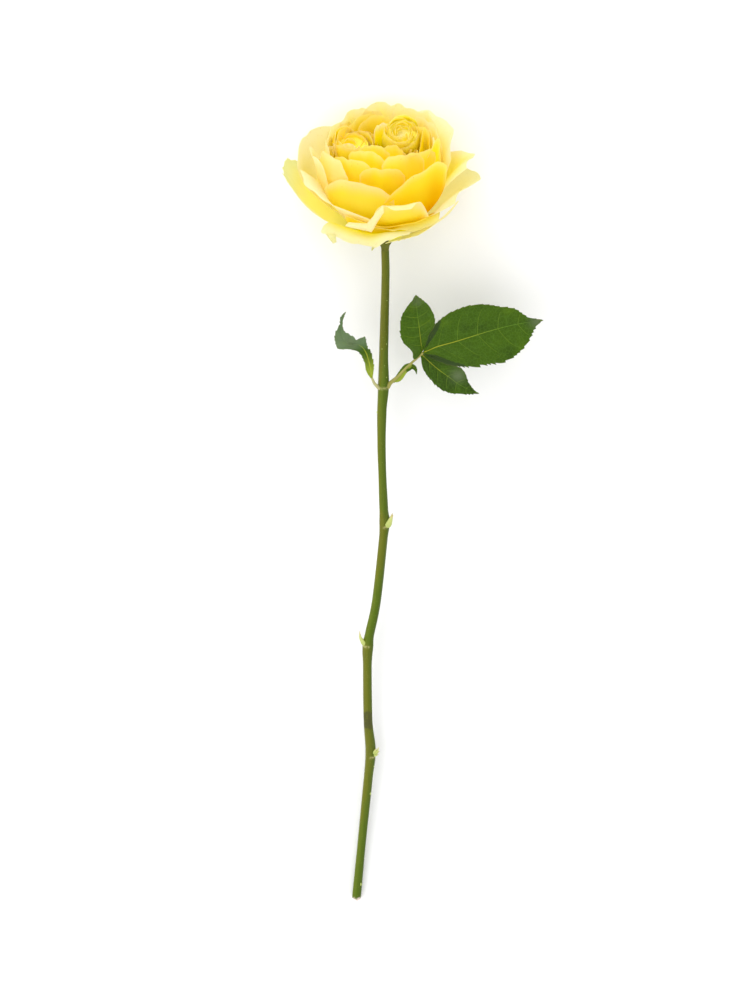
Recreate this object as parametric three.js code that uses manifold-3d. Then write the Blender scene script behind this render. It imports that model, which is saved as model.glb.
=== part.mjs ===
// A cut garden rose with a full, cupped yellow bloom, laid down on its back on a table.
// Everything is first drawn in the frame of the growing rose: x to its right, y up the
// stem, z towards the eye, origin at the bloom's base. The whole rose is then pitched until
// it lies on its rear petals and on the cut end of the stem.

import * as THREE from 'three';
import { mergeVertices } from 'three/addons/utils/BufferGeometryUtils.js';
import Module from 'manifold-3d';

const wasm = await Module();
wasm.setup();

// Driving dimensions, in millimetres and degrees
const GAP = 0.3;                // between pieces that touch
const PETAL_THICK = 0.8;
const LEAF_THICK = 0.8;
const SEPAL_THICK = 0.9;
const BLOOM_NOD = 10;           // the bloom's axis leans this far towards the eye
const LYING_PITCH = 3.9;        // bloom end up, once the rose is laid down
const STEM_END_RADIUS = 2.3;
const STEM_LENGTH = 351.4;      // from the bloom's base to the cut
const STEM_SIDES = 12;
const STEM_STEP = 6;            // spacing of the stem's rings
const HIP_TOP = -0.8;           // along the bloom's axis
const CORE_BOTTOM = HIP_TOP + GAP;

const rad = THREE.MathUtils.degToRad;
const smooth = THREE.MathUtils.smoothstep;
const vec = (x, y, z) => new THREE.Vector3(x, y, z);

// How the rose lies: height of a point over the table, for a point of the growing rose
const TABLE_UP = vec(0, Math.sin(rad(LYING_PITCH)), Math.cos(rad(LYING_PITCH)));
const BASE_HEIGHT = STEM_LENGTH * TABLE_UP.y + STEM_END_RADIUS * TABLE_UP.z;
const height = (point) => point.dot(TABLE_UP) + BASE_HEIGHT;

// A sheet's middle that would dip into the table is pressed nearly flat on it. It touches the
// table at the feet, as x and y, and bulges up a little between them.
const FEET = [[-10.4, 40.8], [12.8, 51.3]];
const BULGE = 0.3;
const BULGE_REACH = 9;

function press(point, thick) {
  const away = Math.min(...FEET.map(([x, y]) => Math.hypot(point.x - x, point.y - y)));
  const short = thick / 2 + BULGE * smooth(away, 0, BULGE_REACH) - height(point);
  return short > 0 ? point.addScaledVector(TABLE_UP, short) : point;
}

// From the bloom's frame (x right, y away from the eye, z along its axis) to the rose's
function fromBloom(point) {
  const s = Math.sin(rad(BLOOM_NOD));
  const c = Math.cos(rad(BLOOM_NOD));
  return vec(point.x, point.y * s + point.z * c, -point.y * c + point.z * s);
}

// Solids

function geometryOf(positions, triangles) {
  const geometry = new THREE.BufferGeometry();
  geometry.setAttribute('position', new THREE.Float32BufferAttribute(positions, 3));
  geometry.setIndex(triangles);
  return geometry;
}

function solidOf(geometry) {
  const bare = geometry.clone();
  bare.deleteAttribute('normal');
  bare.deleteAttribute('uv');
  const merged = mergeVertices(bare, 1e-4);
  return new wasm.Manifold(new wasm.Mesh({
    numProp: 3,
    vertProperties: new Float32Array(merged.attributes.position.array),
    triVerts: new Uint32Array(merged.index.array),
  }));
}

// The largest body of a solid, without scraps and with sealed hollows filled
function mainBody(solid) {
  const bodies = solid.decompose();
  bodies.sort((a, b) => b.volume() - a.volume());
  return bodies[0];
}

function fuse(solids) {
  return mainBody(wasm.Manifold.union(solids));
}

function meshOf(name, solid, color, roughness) {
  const { vertProperties, triVerts } = solid.getMesh();
  const geometry = geometryOf(Array.from(vertProperties), Array.from(triVerts));
  geometry.computeVertexNormals();
  const material = new THREE.MeshStandardMaterial({ color, roughness, metalness: 0 });
  const mesh = new THREE.Mesh(geometry, material);
  mesh.name = name;
  return mesh;
}

// A thin blade of even thickness over a grid of points, both faces split alike
function bladeOf(grid, thick) {
  const rows = grid.length;
  const cols = grid[0].length;
  const positions = [];
  const triangles = [];
  const at = (side, i, j) => (side * rows + i) * cols + j;
  for (const side of [1, -1]) {
    for (let i = 0; i < rows; i += 1) {
      for (let j = 0; j < cols; j += 1) {
        const along = grid[Math.min(i + 1, rows - 1)][j].clone().sub(grid[Math.max(i - 1, 0)][j]);
        const across = grid[i][Math.min(j + 1, cols - 1)].clone().sub(grid[i][Math.max(j - 1, 0)]);
        const normal = across.cross(along).normalize();
        const point = grid[i][j].clone().addScaledVector(normal, (side * thick) / 2);
        positions.push(point.x, point.y, point.z);
      }
    }
  }
  for (let i = 0; i + 1 < rows; i += 1) {
    for (let j = 0; j + 1 < cols; j += 1) {
      const [a, b, c, d] = [at(0, i, j), at(0, i, j + 1), at(0, i + 1, j + 1), at(0, i + 1, j)];
      const back = rows * cols;
      triangles.push(a, b, c, a, c, d, a + back, c + back, b + back, a + back, d + back, c + back);
    }
  }
  const rim = [];
  for (let j = 0; j + 1 < cols; j += 1) rim.push([0, j]);
  for (let i = 0; i + 1 < rows; i += 1) rim.push([i, cols - 1]);
  for (let j = cols - 1; j > 0; j -= 1) rim.push([rows - 1, j]);
  for (let i = rows - 1; i > 0; i -= 1) rim.push([i, 0]);
  rim.forEach(([i, j], k) => {
    const [m, n] = rim[(k + 1) % rim.length];
    triangles.push(at(0, i, j), at(1, i, j), at(0, m, n), at(0, m, n), at(1, i, j), at(1, m, n));
  });
  return solidOf(geometryOf(positions, triangles));
}

// A closed tube along points, with a radius at each
function tubeOf(points, radii, sides) {
  const positions = [];
  const triangles = [];
  const side = vec(1, 0, 0);
  points.forEach((point, i) => {
    const next = points[Math.min(i + 1, points.length - 1)];
    const ahead = next.clone().sub(points[Math.max(i - 1, 0)]).normalize();
    side.addScaledVector(ahead, -side.dot(ahead)).normalize();
    const up = ahead.clone().cross(side);
    for (let k = 0; k < sides; k += 1) {
      const turn = (2 * Math.PI * k) / sides;
      const p = point.clone().addScaledVector(side, radii[i] * Math.cos(turn));
      p.addScaledVector(up, radii[i] * Math.sin(turn));
      positions.push(p.x, p.y, p.z);
    }
  });
  const last = points.length - 1;
  for (let i = 0; i < last; i += 1) {
    for (let k = 0; k < sides; k += 1) {
      const m = (k + 1) % sides;
      const [a, b, c, d] = [i * sides + k, i * sides + m, (i + 1) * sides + m, (i + 1) * sides + k];
      triangles.push(a, b, c, a, c, d);
    }
  }
  for (let k = 1; k + 1 < sides; k += 1) {
    triangles.push(0, k + 1, k, last * sides, last * sides + k, last * sides + k + 1);
  }
  return solidOf(geometryOf(positions, triangles));
}

// Petals

// az is where the petal stands round the bloom: 0 right, 90 rear, 180 left, 270 front. Its
// middle line leaves the core at radius r0 and height z0, leaning base degrees from the axis,
// and reaches its rim at radius R and height Z, leaning tip degrees. wide is its breadth,
// curve the radius of its cupping, roll and tipRoll how far its sides and rim roll back.
// edge is where the rim's roll starts. drop, point and slant shape the rim. The whole petal
// may be tipped by lean degrees towards leanAz, and moved to a seat.
const PETAL = {
  r0: 4, z0: 0, base: 66, tip: -6, wide: 34, curve: 30, claw: 0.3, belly: 0.42, roll: 10, tipRoll: 10,
  edge: 0.78, drop: 0.16, point: 3, slant: 0, rag: 0.5, wave: 0.3, skew: 0, sway: 0,
  lean: 0, leanAz: 0, seat: [0, 0, 0],
};

const OUTER_PETALS = [
  // low at the front, with broad rims rolled back
  { az: 251, R: 40.5, Z: 12.5, base: 84, tip: 108, wide: 48, curve: 60, roll: 60, tipRoll: 70, drop: 0.17,
    point: 1.8, edge: 0.84, wave: 0.8, rag: 1 },
  { az: 292.5, R: 37, Z: 14, z0: 1, base: 82, tip: 80, wide: 46, curve: 50, roll: 60, tipRoll: 100,
    edge: 0.76, drop: 0.15, point: 2.6, slant: 0.2, wave: 0.8, rag: 1 },
  { az: 221, R: 42.5, Z: 30, z0: 2, base: 80, tip: 62, wide: 45, curve: 42, roll: 20, tipRoll: 110,
    drop: 0.08, point: 2.6, edge: 0.92, lean: 12, leanAz: 311 },
  { az: 271, R: 42.5, Z: 35.3, z0: 7, base: 76, tip: 20, wide: 44, curve: 46, roll: 90, tipRoll: 130,
    drop: 0.08, edge: 0.88, slant: -0.42, wave: 0.2 },
  // spreading at the right
  { az: 348, R: 48, Z: 35, z0: 2, base: 80, tip: 54, wide: 50, curve: 40, roll: 90, tipRoll: 20,
    belly: 0.3, drop: 0.19, point: 1.6, slant: 0.1, wave: 0.5 },
  { az: 360, R: 46.4, Z: 44.8, z0: 4, base: 76, tip: 68, wide: 40, curve: 38, roll: 70, drop: 0.12,
    belly: 0.35, point: 1.6, slant: 0.22, wave: 0.4 },
  { az: 30, R: 33.5, Z: 55, z0: 5, base: 76, tip: 26, wide: 46, curve: 36, roll: 50, tipRoll: 30,
    drop: 0.13, slant: -0.09, wave: 0.5 },
  // spreading at the left
  { az: 170, R: 49.2, Z: 34, z0: 1, base: 80, tip: 27, wide: 30, curve: 42, roll: 30, drop: 0.08,
    point: 1.8, wave: 0.6, rag: 1.2 },
  { az: 147.5, R: 40.6, Z: 44.5, z0: 3, base: 74, tip: -17, wide: 48, curve: 36, roll: 20, tipRoll: 24,
    drop: 0.15, wave: 0.5 },
  // at the rear, which the rose lies on
  { az: 118, R: 39, Z: 46, z0: 1, base: 78, tip: 6, wide: 40, curve: 41, roll: 30, tipRoll: 30,
    drop: 0.36, point: 2.6, skew: 0.05 },
  { az: 72, R: 36.5, Z: 45, z0: 4, base: 73, tip: 4, wide: 40, curve: 37, roll: 30, tipRoll: 30,
    drop: 0.36, point: 2.6, skew: 0.05 },
];

const CUP_PETALS = [
  { az: 291, R: 37, Z: 54, z0: 5, base: 76, tip: -4, wide: 38, curve: 32, roll: 50, tipRoll: 40,
    drop: 0.14, slant: -0.4, wave: 0.2 },
  { az: 245.5, R: 34, Z: 40, z0: 5, base: 74, tip: -8, wide: 38, curve: 33, tipRoll: 6, wave: 0.15,
    rag: 0.3 },
  { az: 321.7, R: 28.7, Z: 56.8, z0: 6, tip: 7, curve: 29, wide: 18, roll: 20, drop: 0.3, point: 1.4,
    sway: 0.078 },
  { az: 193, R: 33.1, Z: 46.5, z0: 6, base: 72, tip: -9, wide: 30, curve: 34, roll: 40, tipRoll: 30,
    drop: 0.15 },
  { az: 213, R: 30.2, Z: 48, z0: 6, tip: -17, wide: 27, curve: 32, drop: 0.14, wave: 0.2 },
  { az: 267.6, R: 28.8, Z: 46.3, z0: 8, base: 66, tip: 0, wide: 22, curve: 31, drop: 0.08, wave: 0.2 },
  { az: 289.6, R: 26.7, Z: 52, z0: 9, base: 60, tip: -18, wide: 22, curve: 24, drop: 0.08, wave: 0.2 },
  { az: 307.5, R: 26.8, Z: 51.5, z0: 8, wide: 23, curve: 27, drop: 0.06, wave: 0.2 },
  { az: 236, R: 27.7, Z: 48.7, z0: 8, tip: -8, wide: 24, curve: 27, drop: 0.07, wave: 0.2 },
  { az: 247.6, R: 22.8, Z: 52, z0: 10, base: 50, tip: -15, wide: 20, curve: 20, drop: 0.09, wave: 0.2 },
  { az: 281.6, R: 13, Z: 51.5, z0: 12, base: 40, tip: -11, wide: 13, curve: 16, drop: 0.08, wave: 0.2 },
  { az: 251.2, R: 16, Z: 52.6, z0: 12, base: 40, tip: -12, wide: 16, curve: 16, drop: 0.08, wave: 0.2 },
  { az: 8, R: 18, Z: 54.5, z0: 14, base: 40, tip: -8, wide: 14, curve: 18, drop: 0.45, point: 1.3,
    skew: -0.5 },
  { az: 100, R: 21, Z: 53, z0: 14, base: 40, tip: -14, wide: 20, curve: 18, tipRoll: 20, drop: 0.1,
    skew: 0.1 },
];

// The rim behind the hollow of the cup, as az, R and Z of each petal
const REAR_RIM = [
  [4, 22.5, 51], [32, 24, 53], [60, 27, 55], [88, 30, 55.5], [116, 29, 53.5], [144, 28, 50.5], [172, 27, 48],
];
const REAR_INNER = [[112, 24, 52.5], [148, 23, 49.5], [24, 19, 52]];

// The heart is two whorls of petals side by side, each about a leaning axis that starts at its
// seat. Its rings sink by sink each.
const SWIRLS = [
  { lean: 25, leanAz: 285, turn: 20, seat: [-16.7, 10.4, 33.5], radius: 8.5, height: 15.5, sink: 1.4 },
  { lean: 40, leanAz: 275, turn: 80, seat: [7.8, 19.1, 38.7], radius: 8, height: 16, sink: 0.3 },
];
const SWIRL_RINGS = 3;
const SWIRL_SHRINK = 0.3;
const SWIRL_TURN = 47;
const SWIRL_ROOT = -6;

// A single petal stands on edge between the whorls
const FOLDED_PETAL = {
  az: 262, seat: [-2.4, 12, 34], r0: 0.5, R: 2, Z: 20, wide: 7, base: 10, tip: 8, curve: 5,
  claw: 0.7, skew: 0.35, sway: 0.06, wave: 0.5, drop: 0.2,
};

function heartPetals() {
  const petals = [FOLDED_PETAL];
  for (const swirl of SWIRLS) {
    for (let ring = 0; ring < SWIRL_RINGS; ring += 1) {
      const R = swirl.radius * (1 - SWIRL_SHRINK * ring);
      const count = ring === SWIRL_RINGS - 1 ? 2 : 3;
      for (let i = 0; i < count; i += 1) {
        petals.push({
          az: swirl.turn + SWIRL_TURN * ring + (360 * i) / count, R, Z: swirl.height - swirl.sink * ring,
          r0: 0.8 * R, z0: SWIRL_ROOT, base: 20, tip: -22, wide: 2.1 * R + 1, curve: 0.95 * R,
          claw: 0.9, skew: 0.1, roll: 6, drop: 0.1, wave: 0.2, lean: swirl.lean, leanAz: swirl.leanAz,
          seat: swirl.seat,
        });
      }
    }
  }
  return petals;
}

function rearPetals() {
  const rim = REAR_RIM.map(([az, R, Z]) => (
    { az, R, Z, base: 64, tip: -16, wide: 30, curve: R, tipRoll: 8, drop: 0.12, skew: 0.1 }));
  const inner = REAR_INNER.map(([az, R, Z]) => (
    { az, R, Z, base: 58, tip: -18, wide: 28, curve: R - 1, roll: 8, tipRoll: 14, drop: 0.12, skew: 0.14 }));
  return [...rim, ...inner];
}

// The middle line, with its rim rolled back, as points [r, z, lean] at even steps
function middleLine(p) {
  const steps = 200;
  const reach = p.belly * Math.hypot(p.R - p.r0, p.Z - p.z0);
  const line = new THREE.CubicBezierCurve(
    new THREE.Vector2(p.r0, p.z0),
    new THREE.Vector2(p.r0 + reach * Math.sin(rad(p.base)), p.z0 + reach * Math.cos(rad(p.base))),
    new THREE.Vector2(p.R - reach * Math.sin(rad(p.tip)), p.Z - reach * Math.cos(rad(p.tip))),
    new THREE.Vector2(p.R, p.Z),
  );
  const points = [];
  let r = p.r0;
  let z = p.z0;
  for (let i = 0; i <= steps; i += 1) {
    const here = line.getPoint(i / steps);
    const next = line.getPoint((i + 1) / steps);
    const lean = Math.atan2(next.x - here.x, next.y - here.y);
    const rolled = lean + rad(p.tipRoll) * smooth(i / steps, p.edge, 1);
    const length = here.distanceTo(next);
    points.push([r, z, rolled]);
    r += length * Math.sin(rolled);
    z += length * Math.cos(rolled);
  }
  return (t) => {
    const place = Math.min(Math.max(t, 0), 1) * steps;
    const i = Math.min(Math.floor(place), steps - 1);
    return points[i].map((value, k) => value + (points[i + 1][k] - value) * (place - i));
  };
}

// A point of a petal's middle surface: u runs across from -1 to 1, v from root 0 to rim 1
function petalSurface(given, seed) {
  const p = { ...PETAL, ...given };
  const line = middleLine(p);
  const phase = (k) => (seed * (12.9898 + 4.1414 * k)) % (2 * Math.PI);
  const leanAxis = vec(-Math.sin(rad(p.leanAz)), Math.cos(rad(p.leanAz)), 0);
  return (u, v) => {
    const ragged = 0.018 * Math.sin(5.3 * u + phase(0)) + 0.012 * Math.sin(11.7 * u + phase(1));
    const slant = Math.abs(p.slant) * ((1 + Math.sign(p.slant) * u) / 2) ** 1.5;
    const t = v * (1 - p.drop * Math.abs(u) ** p.point - slant + p.rag * ragged);
    const [r, z, lean] = line(t);
    const half = (p.wide / 2) * (p.claw + (1 - p.claw) * smooth(t, -0.05, 0.75));
    const steps = 16;
    let x = 0;
    let inward = 0;
    for (let i = 0; i < steps; i += 1) {
      const out = (Math.abs(u) * (i + 0.5)) / steps;
      const turn = (out * half) / p.curve - rad(p.roll) * smooth(t, 0.25, 0.9) * smooth(out, 0.62, 1);
      x += (Math.cos(turn) * half * u) / steps;
      inward += (Math.sin(turn) * half * Math.abs(u)) / steps;
    }
    const ripple = Math.sin(4.1 * u + 3 * t + phase(2)) + 0.6 * Math.sin(9.3 * u - 4 * t + phase(3));
    inward += p.wave * smooth(Math.max(Math.abs(u), t), 0.45, 1) * ripple + p.skew * x;
    x += p.sway * Math.hypot(p.R - p.r0, p.Z - p.z0) * t * t;
    const radius = r - Math.cos(lean) * inward;
    const rise = z + Math.sin(lean) * inward;
    const c = Math.cos(rad(p.az));
    const s = Math.sin(rad(p.az));
    const point = vec(radius * c - x * s, radius * s + x * c, rise);
    return point.applyAxisAngle(leanAxis, rad(p.lean)).add(vec(...p.seat));
  };
}

const FINE_ROWS = [0, 0.3, 0.6, 0.82, 0.92, 1];
const FINE_COLS = [-1, -0.72, -0.36, 0, 0.36, 0.72, 1];
const PLAIN_ROWS = [0, 0.4, 0.72, 1];
const PLAIN_COLS = [-1, -0.5, 0, 0.5, 1];
const REAR_ROWS = [0, 0.62, 1];
const HEART_ROWS = [0, 0.5, 1];
const HEART_COLS = [-1, -0.4, 0.4, 1];

function petalSolid(given, seed, rows, cols, thick) {
  const surface = petalSurface(given, seed);
  const grid = rows.map((v) => cols.map((u) => press(fromBloom(surface(u, v)), thick)));
  return bladeOf(grid, thick);
}

// The core that every petal grows out of
function coreSolid() {
  const profile = [
    [0, CORE_BOTTOM], [5, CORE_BOTTOM], [12, 5], [19, 14], [23, 25], [22, 33], [16, 38], [0, 39],
  ];
  const lathe = new THREE.LatheGeometry(profile.map(([r, z]) => new THREE.Vector2(r, z)), 14);
  lathe.rotateX(Math.PI / 2);
  lathe.rotateX(-Math.PI / 2 + rad(BLOOM_NOD));
  return solidOf(lathe);
}

// All petals, as thick as asked, and the core
function bloomSolids(thick) {
  const outer = OUTER_PETALS.map((p, i) => petalSolid(p, i + 1, FINE_ROWS, FINE_COLS, thick));
  const cup = CUP_PETALS.map((p, i) => petalSolid(p, i + 21, PLAIN_ROWS, PLAIN_COLS, thick));
  const rear = rearPetals().map((p, i) => petalSolid(p, i + 41, REAR_ROWS, PLAIN_COLS, thick));
  const heart = heartPetals().map((p, i) => petalSolid(p, i + 61, HEART_ROWS, HEART_COLS, thick));
  return [coreSolid(), ...outer, ...cup, ...rear, ...heart];
}

// Stem

// The stem's middle, from the hip down to the cut, as x, y and radius
const STEM = [
  [0.3, -8.2, 1.95], [0.5, -23, 2], [-0.3, -60, 2.25], [-0.4, -77, 2.75], [-1.2, -90, 2.35],
  [-1.4, -107, 2.1], [-1, -123, 2], [-0.3, -141, 2.2], [0.1, -147, 2.65], [-0.5, -156, 2.2],
  [-3.9, -189, 2.25], [-7.4, -207, 2.35], [-8.2, -213, 2.75], [-8.5, -224, 2.2], [-8.2, -253, 2.25],
  [-6.9, -270, 2.65], [-8.2, -286, 2.3], [-11.6, -322, 2.15], [-14.3, -STEM_LENGTH, STEM_END_RADIUS],
];
const STEM_CURVE = new THREE.CatmullRomCurve3(STEM.map(([x, y]) => vec(x, y, 0)));

function stemRadius(y) {
  const i = Math.max(1, STEM.findIndex(([, below]) => below <= y + 1e-6));
  const [, y0, r0] = STEM[i - 1];
  const [, y1, r1] = STEM[i];
  return THREE.MathUtils.lerp(r0, r1, smooth(y0 - y, 0, y0 - y1));
}

// The stem, grown by a clearance where it is used to trim what stands on it
function stemSolid(clearance) {
  const points = STEM_CURVE.getSpacedPoints(Math.round(STEM_LENGTH / STEM_STEP));
  const radii = points.map(({ y }) => stemRadius(y) + clearance);
  return tubeOf(points, radii, STEM_SIDES);
}

const stem = stemSolid(0);
const stemRoom = stemSolid(GAP);
const seatOnStem = (solids) => fuse(solids.map((solid) => solid.subtract(stemRoom)));

// Calyx: the hip that carries the bloom, and its five sepals

const SEPAL = {
  r0: 2.5, z0: -2.6, base: 88, tip: 70, wide: 12, curve: -16, claw: 0.6, roll: 0, tipRoll: 0, drop: 0.85,
  point: 1.1, rag: 0, wave: 0.2,
};
const SEPALS = [
  { az: 322, R: 38, Z: 19.5, tip: 50, wide: 11 },
  { az: 34, R: 29, Z: 4 },
  { az: 106, R: 22, Z: 2 },
  { az: 178, R: 30, Z: 3 },
  { az: 225, R: 8.5, Z: -6.5, tip: 165, wide: 5 },
];
const SEPAL_ROWS = [0, 0.3, 0.65, 1];
const SEPAL_COLS = [-1, 0, 1];

function hipSolid() {
  const [x, y, r] = STEM[0];
  const points = [
    vec(x, y + GAP, 0), vec(x, y + 2, 0), vec(0.2, -4.4, 0.4),
    fromBloom(vec(0, 0, -2.4)), fromBloom(vec(0, 0, HIP_TOP)),
  ];
  return tubeOf(points, [r, r + 0.3, 4, 4.9, 4.7], 14);
}

function sepalSolid(given, seed) {
  const surface = petalSurface({ ...SEPAL, ...given }, seed);
  const grid = SEPAL_ROWS.map((v) => SEPAL_COLS.map((u) => fromBloom(surface(u, v))));
  return bladeOf(grid, SEPAL_THICK);
}

// Leaves

// A toothed blade along a path of points, facing up, with half its width given
function leafletSolid({ path, up, half, teeth, fold, swell = 0.8 }) {
  const curve = new THREE.CatmullRomCurve3(path.map((p) => vec(...p)));
  const cols = [-1, -0.5, 0, 0.5, 1];
  const rows = 2 * teeth;
  const grid = [];
  for (let i = 0; i <= rows; i += 1) {
    const s = i / rows;
    const middle = curve.getPointAt(s);
    const along = curve.getTangentAt(s);
    const across = vec(...up).cross(along).normalize();
    const normal = along.clone().cross(across);
    const wide = Math.max(half * Math.sin(Math.PI * s ** swell) ** 0.8, 0.5);
    const tooth = i % 2 === 1 ? 1.08 : 0.95;
    grid.push(cols.map((u) => {
      const x = u * wide * (Math.abs(u) === 1 ? tooth : 1);
      return middle.clone().addScaledVector(across, x).addScaledVector(normal, fold * Math.abs(x));
    }));
  }
  return bladeOf(grid, LEAF_THICK);
}

function stalkSolid(points, radii) {
  const curve = new THREE.CatmullRomCurve3(points.map((p) => vec(...p)));
  const places = curve.getSpacedPoints(10);
  return tubeOf(places, places.map((_, i) => THREE.MathUtils.lerp(radii[0], radii[1], i / 10)), 6);
}

const LEAF_JOINT = [19.3, -57.8, 7.2];      // where the three leaflets meet

function leafSolid() {
  const stalk = [[1.4, -78, 1.2], [4.4, -73.2, 2.6], [8.9, -69.8, 4], [14.6, -63.8, 5.8], LEAF_JOINT];
  const stipule = [[3.6, -74.6, 2.4], [7.2, -71.6, 3.4], [11.4, -69.8, 4.2], [15.4, -69.2, 4.2]];
  const terminal = [[18.4, -58.3, 7], [28, -51, 9.5], [46, -48, 10.5], [62, -44, 8.5], [77.2, -41.6, 4]];
  const upper = [[19.4, -58.8, 7.1], [17.8, -47, 9.5], [16.6, -38, 9.5], [15.4, -28.7, 7]];
  const lower = [[18.6, -57.6, 7.1], [24.5, -64.5, 8], [32.3, -70.7, 8], [46.7, -79.2, 4.5]];
  return seatOnStem([
    stalkSolid(stalk, [1.1, 0.8]),
    leafletSolid({ path: stipule, up: [0.2, 0.5, 0.9], half: 1.7, teeth: 3, fold: 0.1 }),
    leafletSolid({ path: terminal, up: [0, 0.15, 1], half: 16, teeth: 12, fold: 0.12 }),
    leafletSolid({ path: upper, up: [0.1, 0, 1], half: 8.6, teeth: 8, fold: 0.2 }),
    leafletSolid({ path: lower, up: [0.1, 0.35, 1], half: 7.6, teeth: 8, fold: 0.2 }),
  ]);
}

// The lower leaf is reduced to one narrow, twisted blade on a short stalk
function smallLeafSolid() {
  const stalk = [[-1.6, -78, 1.2], [-4.4, -74.6, 2.4], [-6.4, -71, 3.2], [-7.4, -66, 4]];
  const blade = [
    [-6.6, -70, 3.4], [-7.6, -64, 4.5], [-10.6, -57.5, 6], [-15, -54.4, 7], [-19.6, -51.6, 6.4],
    [-21, -45.3, 4.6], [-19.2, -38.3, 3],
  ];
  return seatOnStem([
    stalkSolid(stalk, [1, 0.8]),
    leafletSolid({ path: blade, up: [0.3, -0.3, 0.9], half: 4.8, teeth: 8, fold: 0.25 }),
  ]);
}

// Buds in the axils of the fallen leaves

function budSolid(root, tip, radius) {
  const profile = [0.8, 1, 0.95, 0.7, 0.15];
  const places = profile.map((_, i) => vec(...root).lerp(vec(...tip), i / (profile.length - 1)));
  return seatOnStem([tubeOf(places, profile.map((k) => k * radius), 8)]);
}

const rose = new THREE.Group();
const petals = fuse(bloomSolids(PETAL_THICK));
const bloomRoom = wasm.Manifold.union(bloomSolids(PETAL_THICK + 2 * GAP));
const calyx = fuse([hipSolid(), ...SEPALS.map((p, i) => sepalSolid(p, i + 81).subtract(bloomRoom))]);
rose.add(meshOf('petals', petals, 0xf8d64a, 0.55));
rose.add(meshOf('calyx', calyx, 0x7f9a3c, 0.6));
rose.add(meshOf('stem', stem, 0x6f8a35, 0.5));
rose.add(meshOf('leaf', leafSolid(), 0x437019, 0.45));
rose.add(meshOf('small_leaf', smallLeafSolid(), 0x5f8040, 0.5));
rose.add(meshOf('bud_upper', budSolid([1.2, -147.5, 0.6], [4, -142.8, 1], 1.5), 0x9aa850, 0.5));
rose.add(meshOf('bud_middle', budSolid([-9.4, -211.5, 0.8], [-12.2, -205.4, 1.4], 1.6), 0xc0b870, 0.5));
rose.add(meshOf('bud_lower', budSolid([-6, -271, 0.6], [-2.9, -268.6, 1], 1.8), 0x86904a, 0.6));

// Laid down, with the origin under the middle of its box
rose.rotation.x = rad(LYING_PITCH);
rose.updateMatrixWorld(true);
const box = new THREE.Box3().setFromObject(rose, true);
rose.position.set(-(box.min.x + box.max.x) / 2, -(box.min.y + box.max.y) / 2, BASE_HEIGHT);

export default rose;
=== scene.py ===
"""A cut garden rose with a full yellow bloom, lying on its back on a pale table.

Everything is drawn in millimetres in the frame of the growing rose, x to its right, y up the
stem and z towards the eye, with its origin at the bloom's base, as in the part's source. One
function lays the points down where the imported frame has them, in metres.
"""

import math

import bpy
import numpy as np
from mathutils import Matrix, Vector


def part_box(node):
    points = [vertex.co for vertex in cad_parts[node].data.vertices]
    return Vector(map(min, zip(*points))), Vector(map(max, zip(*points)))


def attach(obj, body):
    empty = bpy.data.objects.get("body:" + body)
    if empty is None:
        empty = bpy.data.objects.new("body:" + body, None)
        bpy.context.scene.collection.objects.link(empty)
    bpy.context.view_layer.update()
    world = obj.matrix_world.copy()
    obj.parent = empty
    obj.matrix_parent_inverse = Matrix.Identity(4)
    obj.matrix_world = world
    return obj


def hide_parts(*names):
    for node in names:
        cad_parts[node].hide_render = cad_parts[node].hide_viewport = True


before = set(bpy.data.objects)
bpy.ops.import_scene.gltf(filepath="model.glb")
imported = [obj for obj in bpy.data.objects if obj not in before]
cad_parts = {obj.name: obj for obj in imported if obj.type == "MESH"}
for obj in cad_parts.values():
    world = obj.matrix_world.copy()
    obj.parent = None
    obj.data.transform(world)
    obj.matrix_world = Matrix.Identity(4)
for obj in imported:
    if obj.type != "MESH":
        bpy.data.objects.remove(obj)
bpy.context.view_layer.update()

BODY = "root"
MM = 0.001

# How the rose lies and leans, as in the part's source
BLOOM_NOD = math.radians(10)
LYING_PITCH = math.radians(3.9)
HIP_TOP = -0.8
GAP = 0.3

# The stem's middle, from the hip down to the cut, as x, y and radius
STEM_LENGTH = 351.4
STEM_END_RADIUS = 2.3
STEM = [
    (0.3, -8.2, 1.95), (0.5, -23, 2), (-0.3, -60, 2.25), (-0.4, -77, 2.75), (-1.2, -90, 2.35),
    (-1.4, -107, 2.1), (-1, -123, 2), (-0.3, -141, 2.2), (0.1, -147, 2.65), (-0.5, -156, 2.2),
    (-3.9, -189, 2.25), (-7.4, -207, 2.35), (-8.2, -213, 2.75), (-8.5, -224, 2.2), (-8.2, -253, 2.25),
    (-6.9, -270, 2.65), (-8.2, -286, 2.3), (-11.6, -322, 2.15), (-14.3, -STEM_LENGTH, STEM_END_RADIUS)]

# Where the petals that the rose lies on touch the table, and how far they stand off around
FEET = [(-10.4, 40.8), (12.8, 51.3)]
BULGE = 0.3
BULGE_REACH = 9

# Thickness of the fine blades
PETAL_THICK = 0.36
FLAP_THICK = 0.252
LEAF_THICK = 0.34
SEPAL_THICK = 0.5
FRINGE_THICK = 0.35

# Blades are shaded smooth, but break at their rims, where faces meet at more than this
RIM_ANGLE = math.radians(60)

TABLE_UP = np.array([0.0, math.sin(LYING_PITCH), math.cos(LYING_PITCH)])
BASE_HEIGHT = STEM_LENGTH * TABLE_UP[1] + STEM_END_RADIUS * TABLE_UP[2]


# Placement


def smooth(low, high, x):
    """A soft step from 0 at low to 1 at high."""
    t = np.clip((x - low) / (high - low), 0, 1)
    return t * t * (3 - 2 * t)


def turned(points, angle):
    """Points turned about the x axis."""
    c, s = math.cos(angle), math.sin(angle)
    x, y, z = np.moveaxis(points, -1, 0)
    return np.stack([x, y * c - z * s, y * s + z * c], -1)


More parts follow.
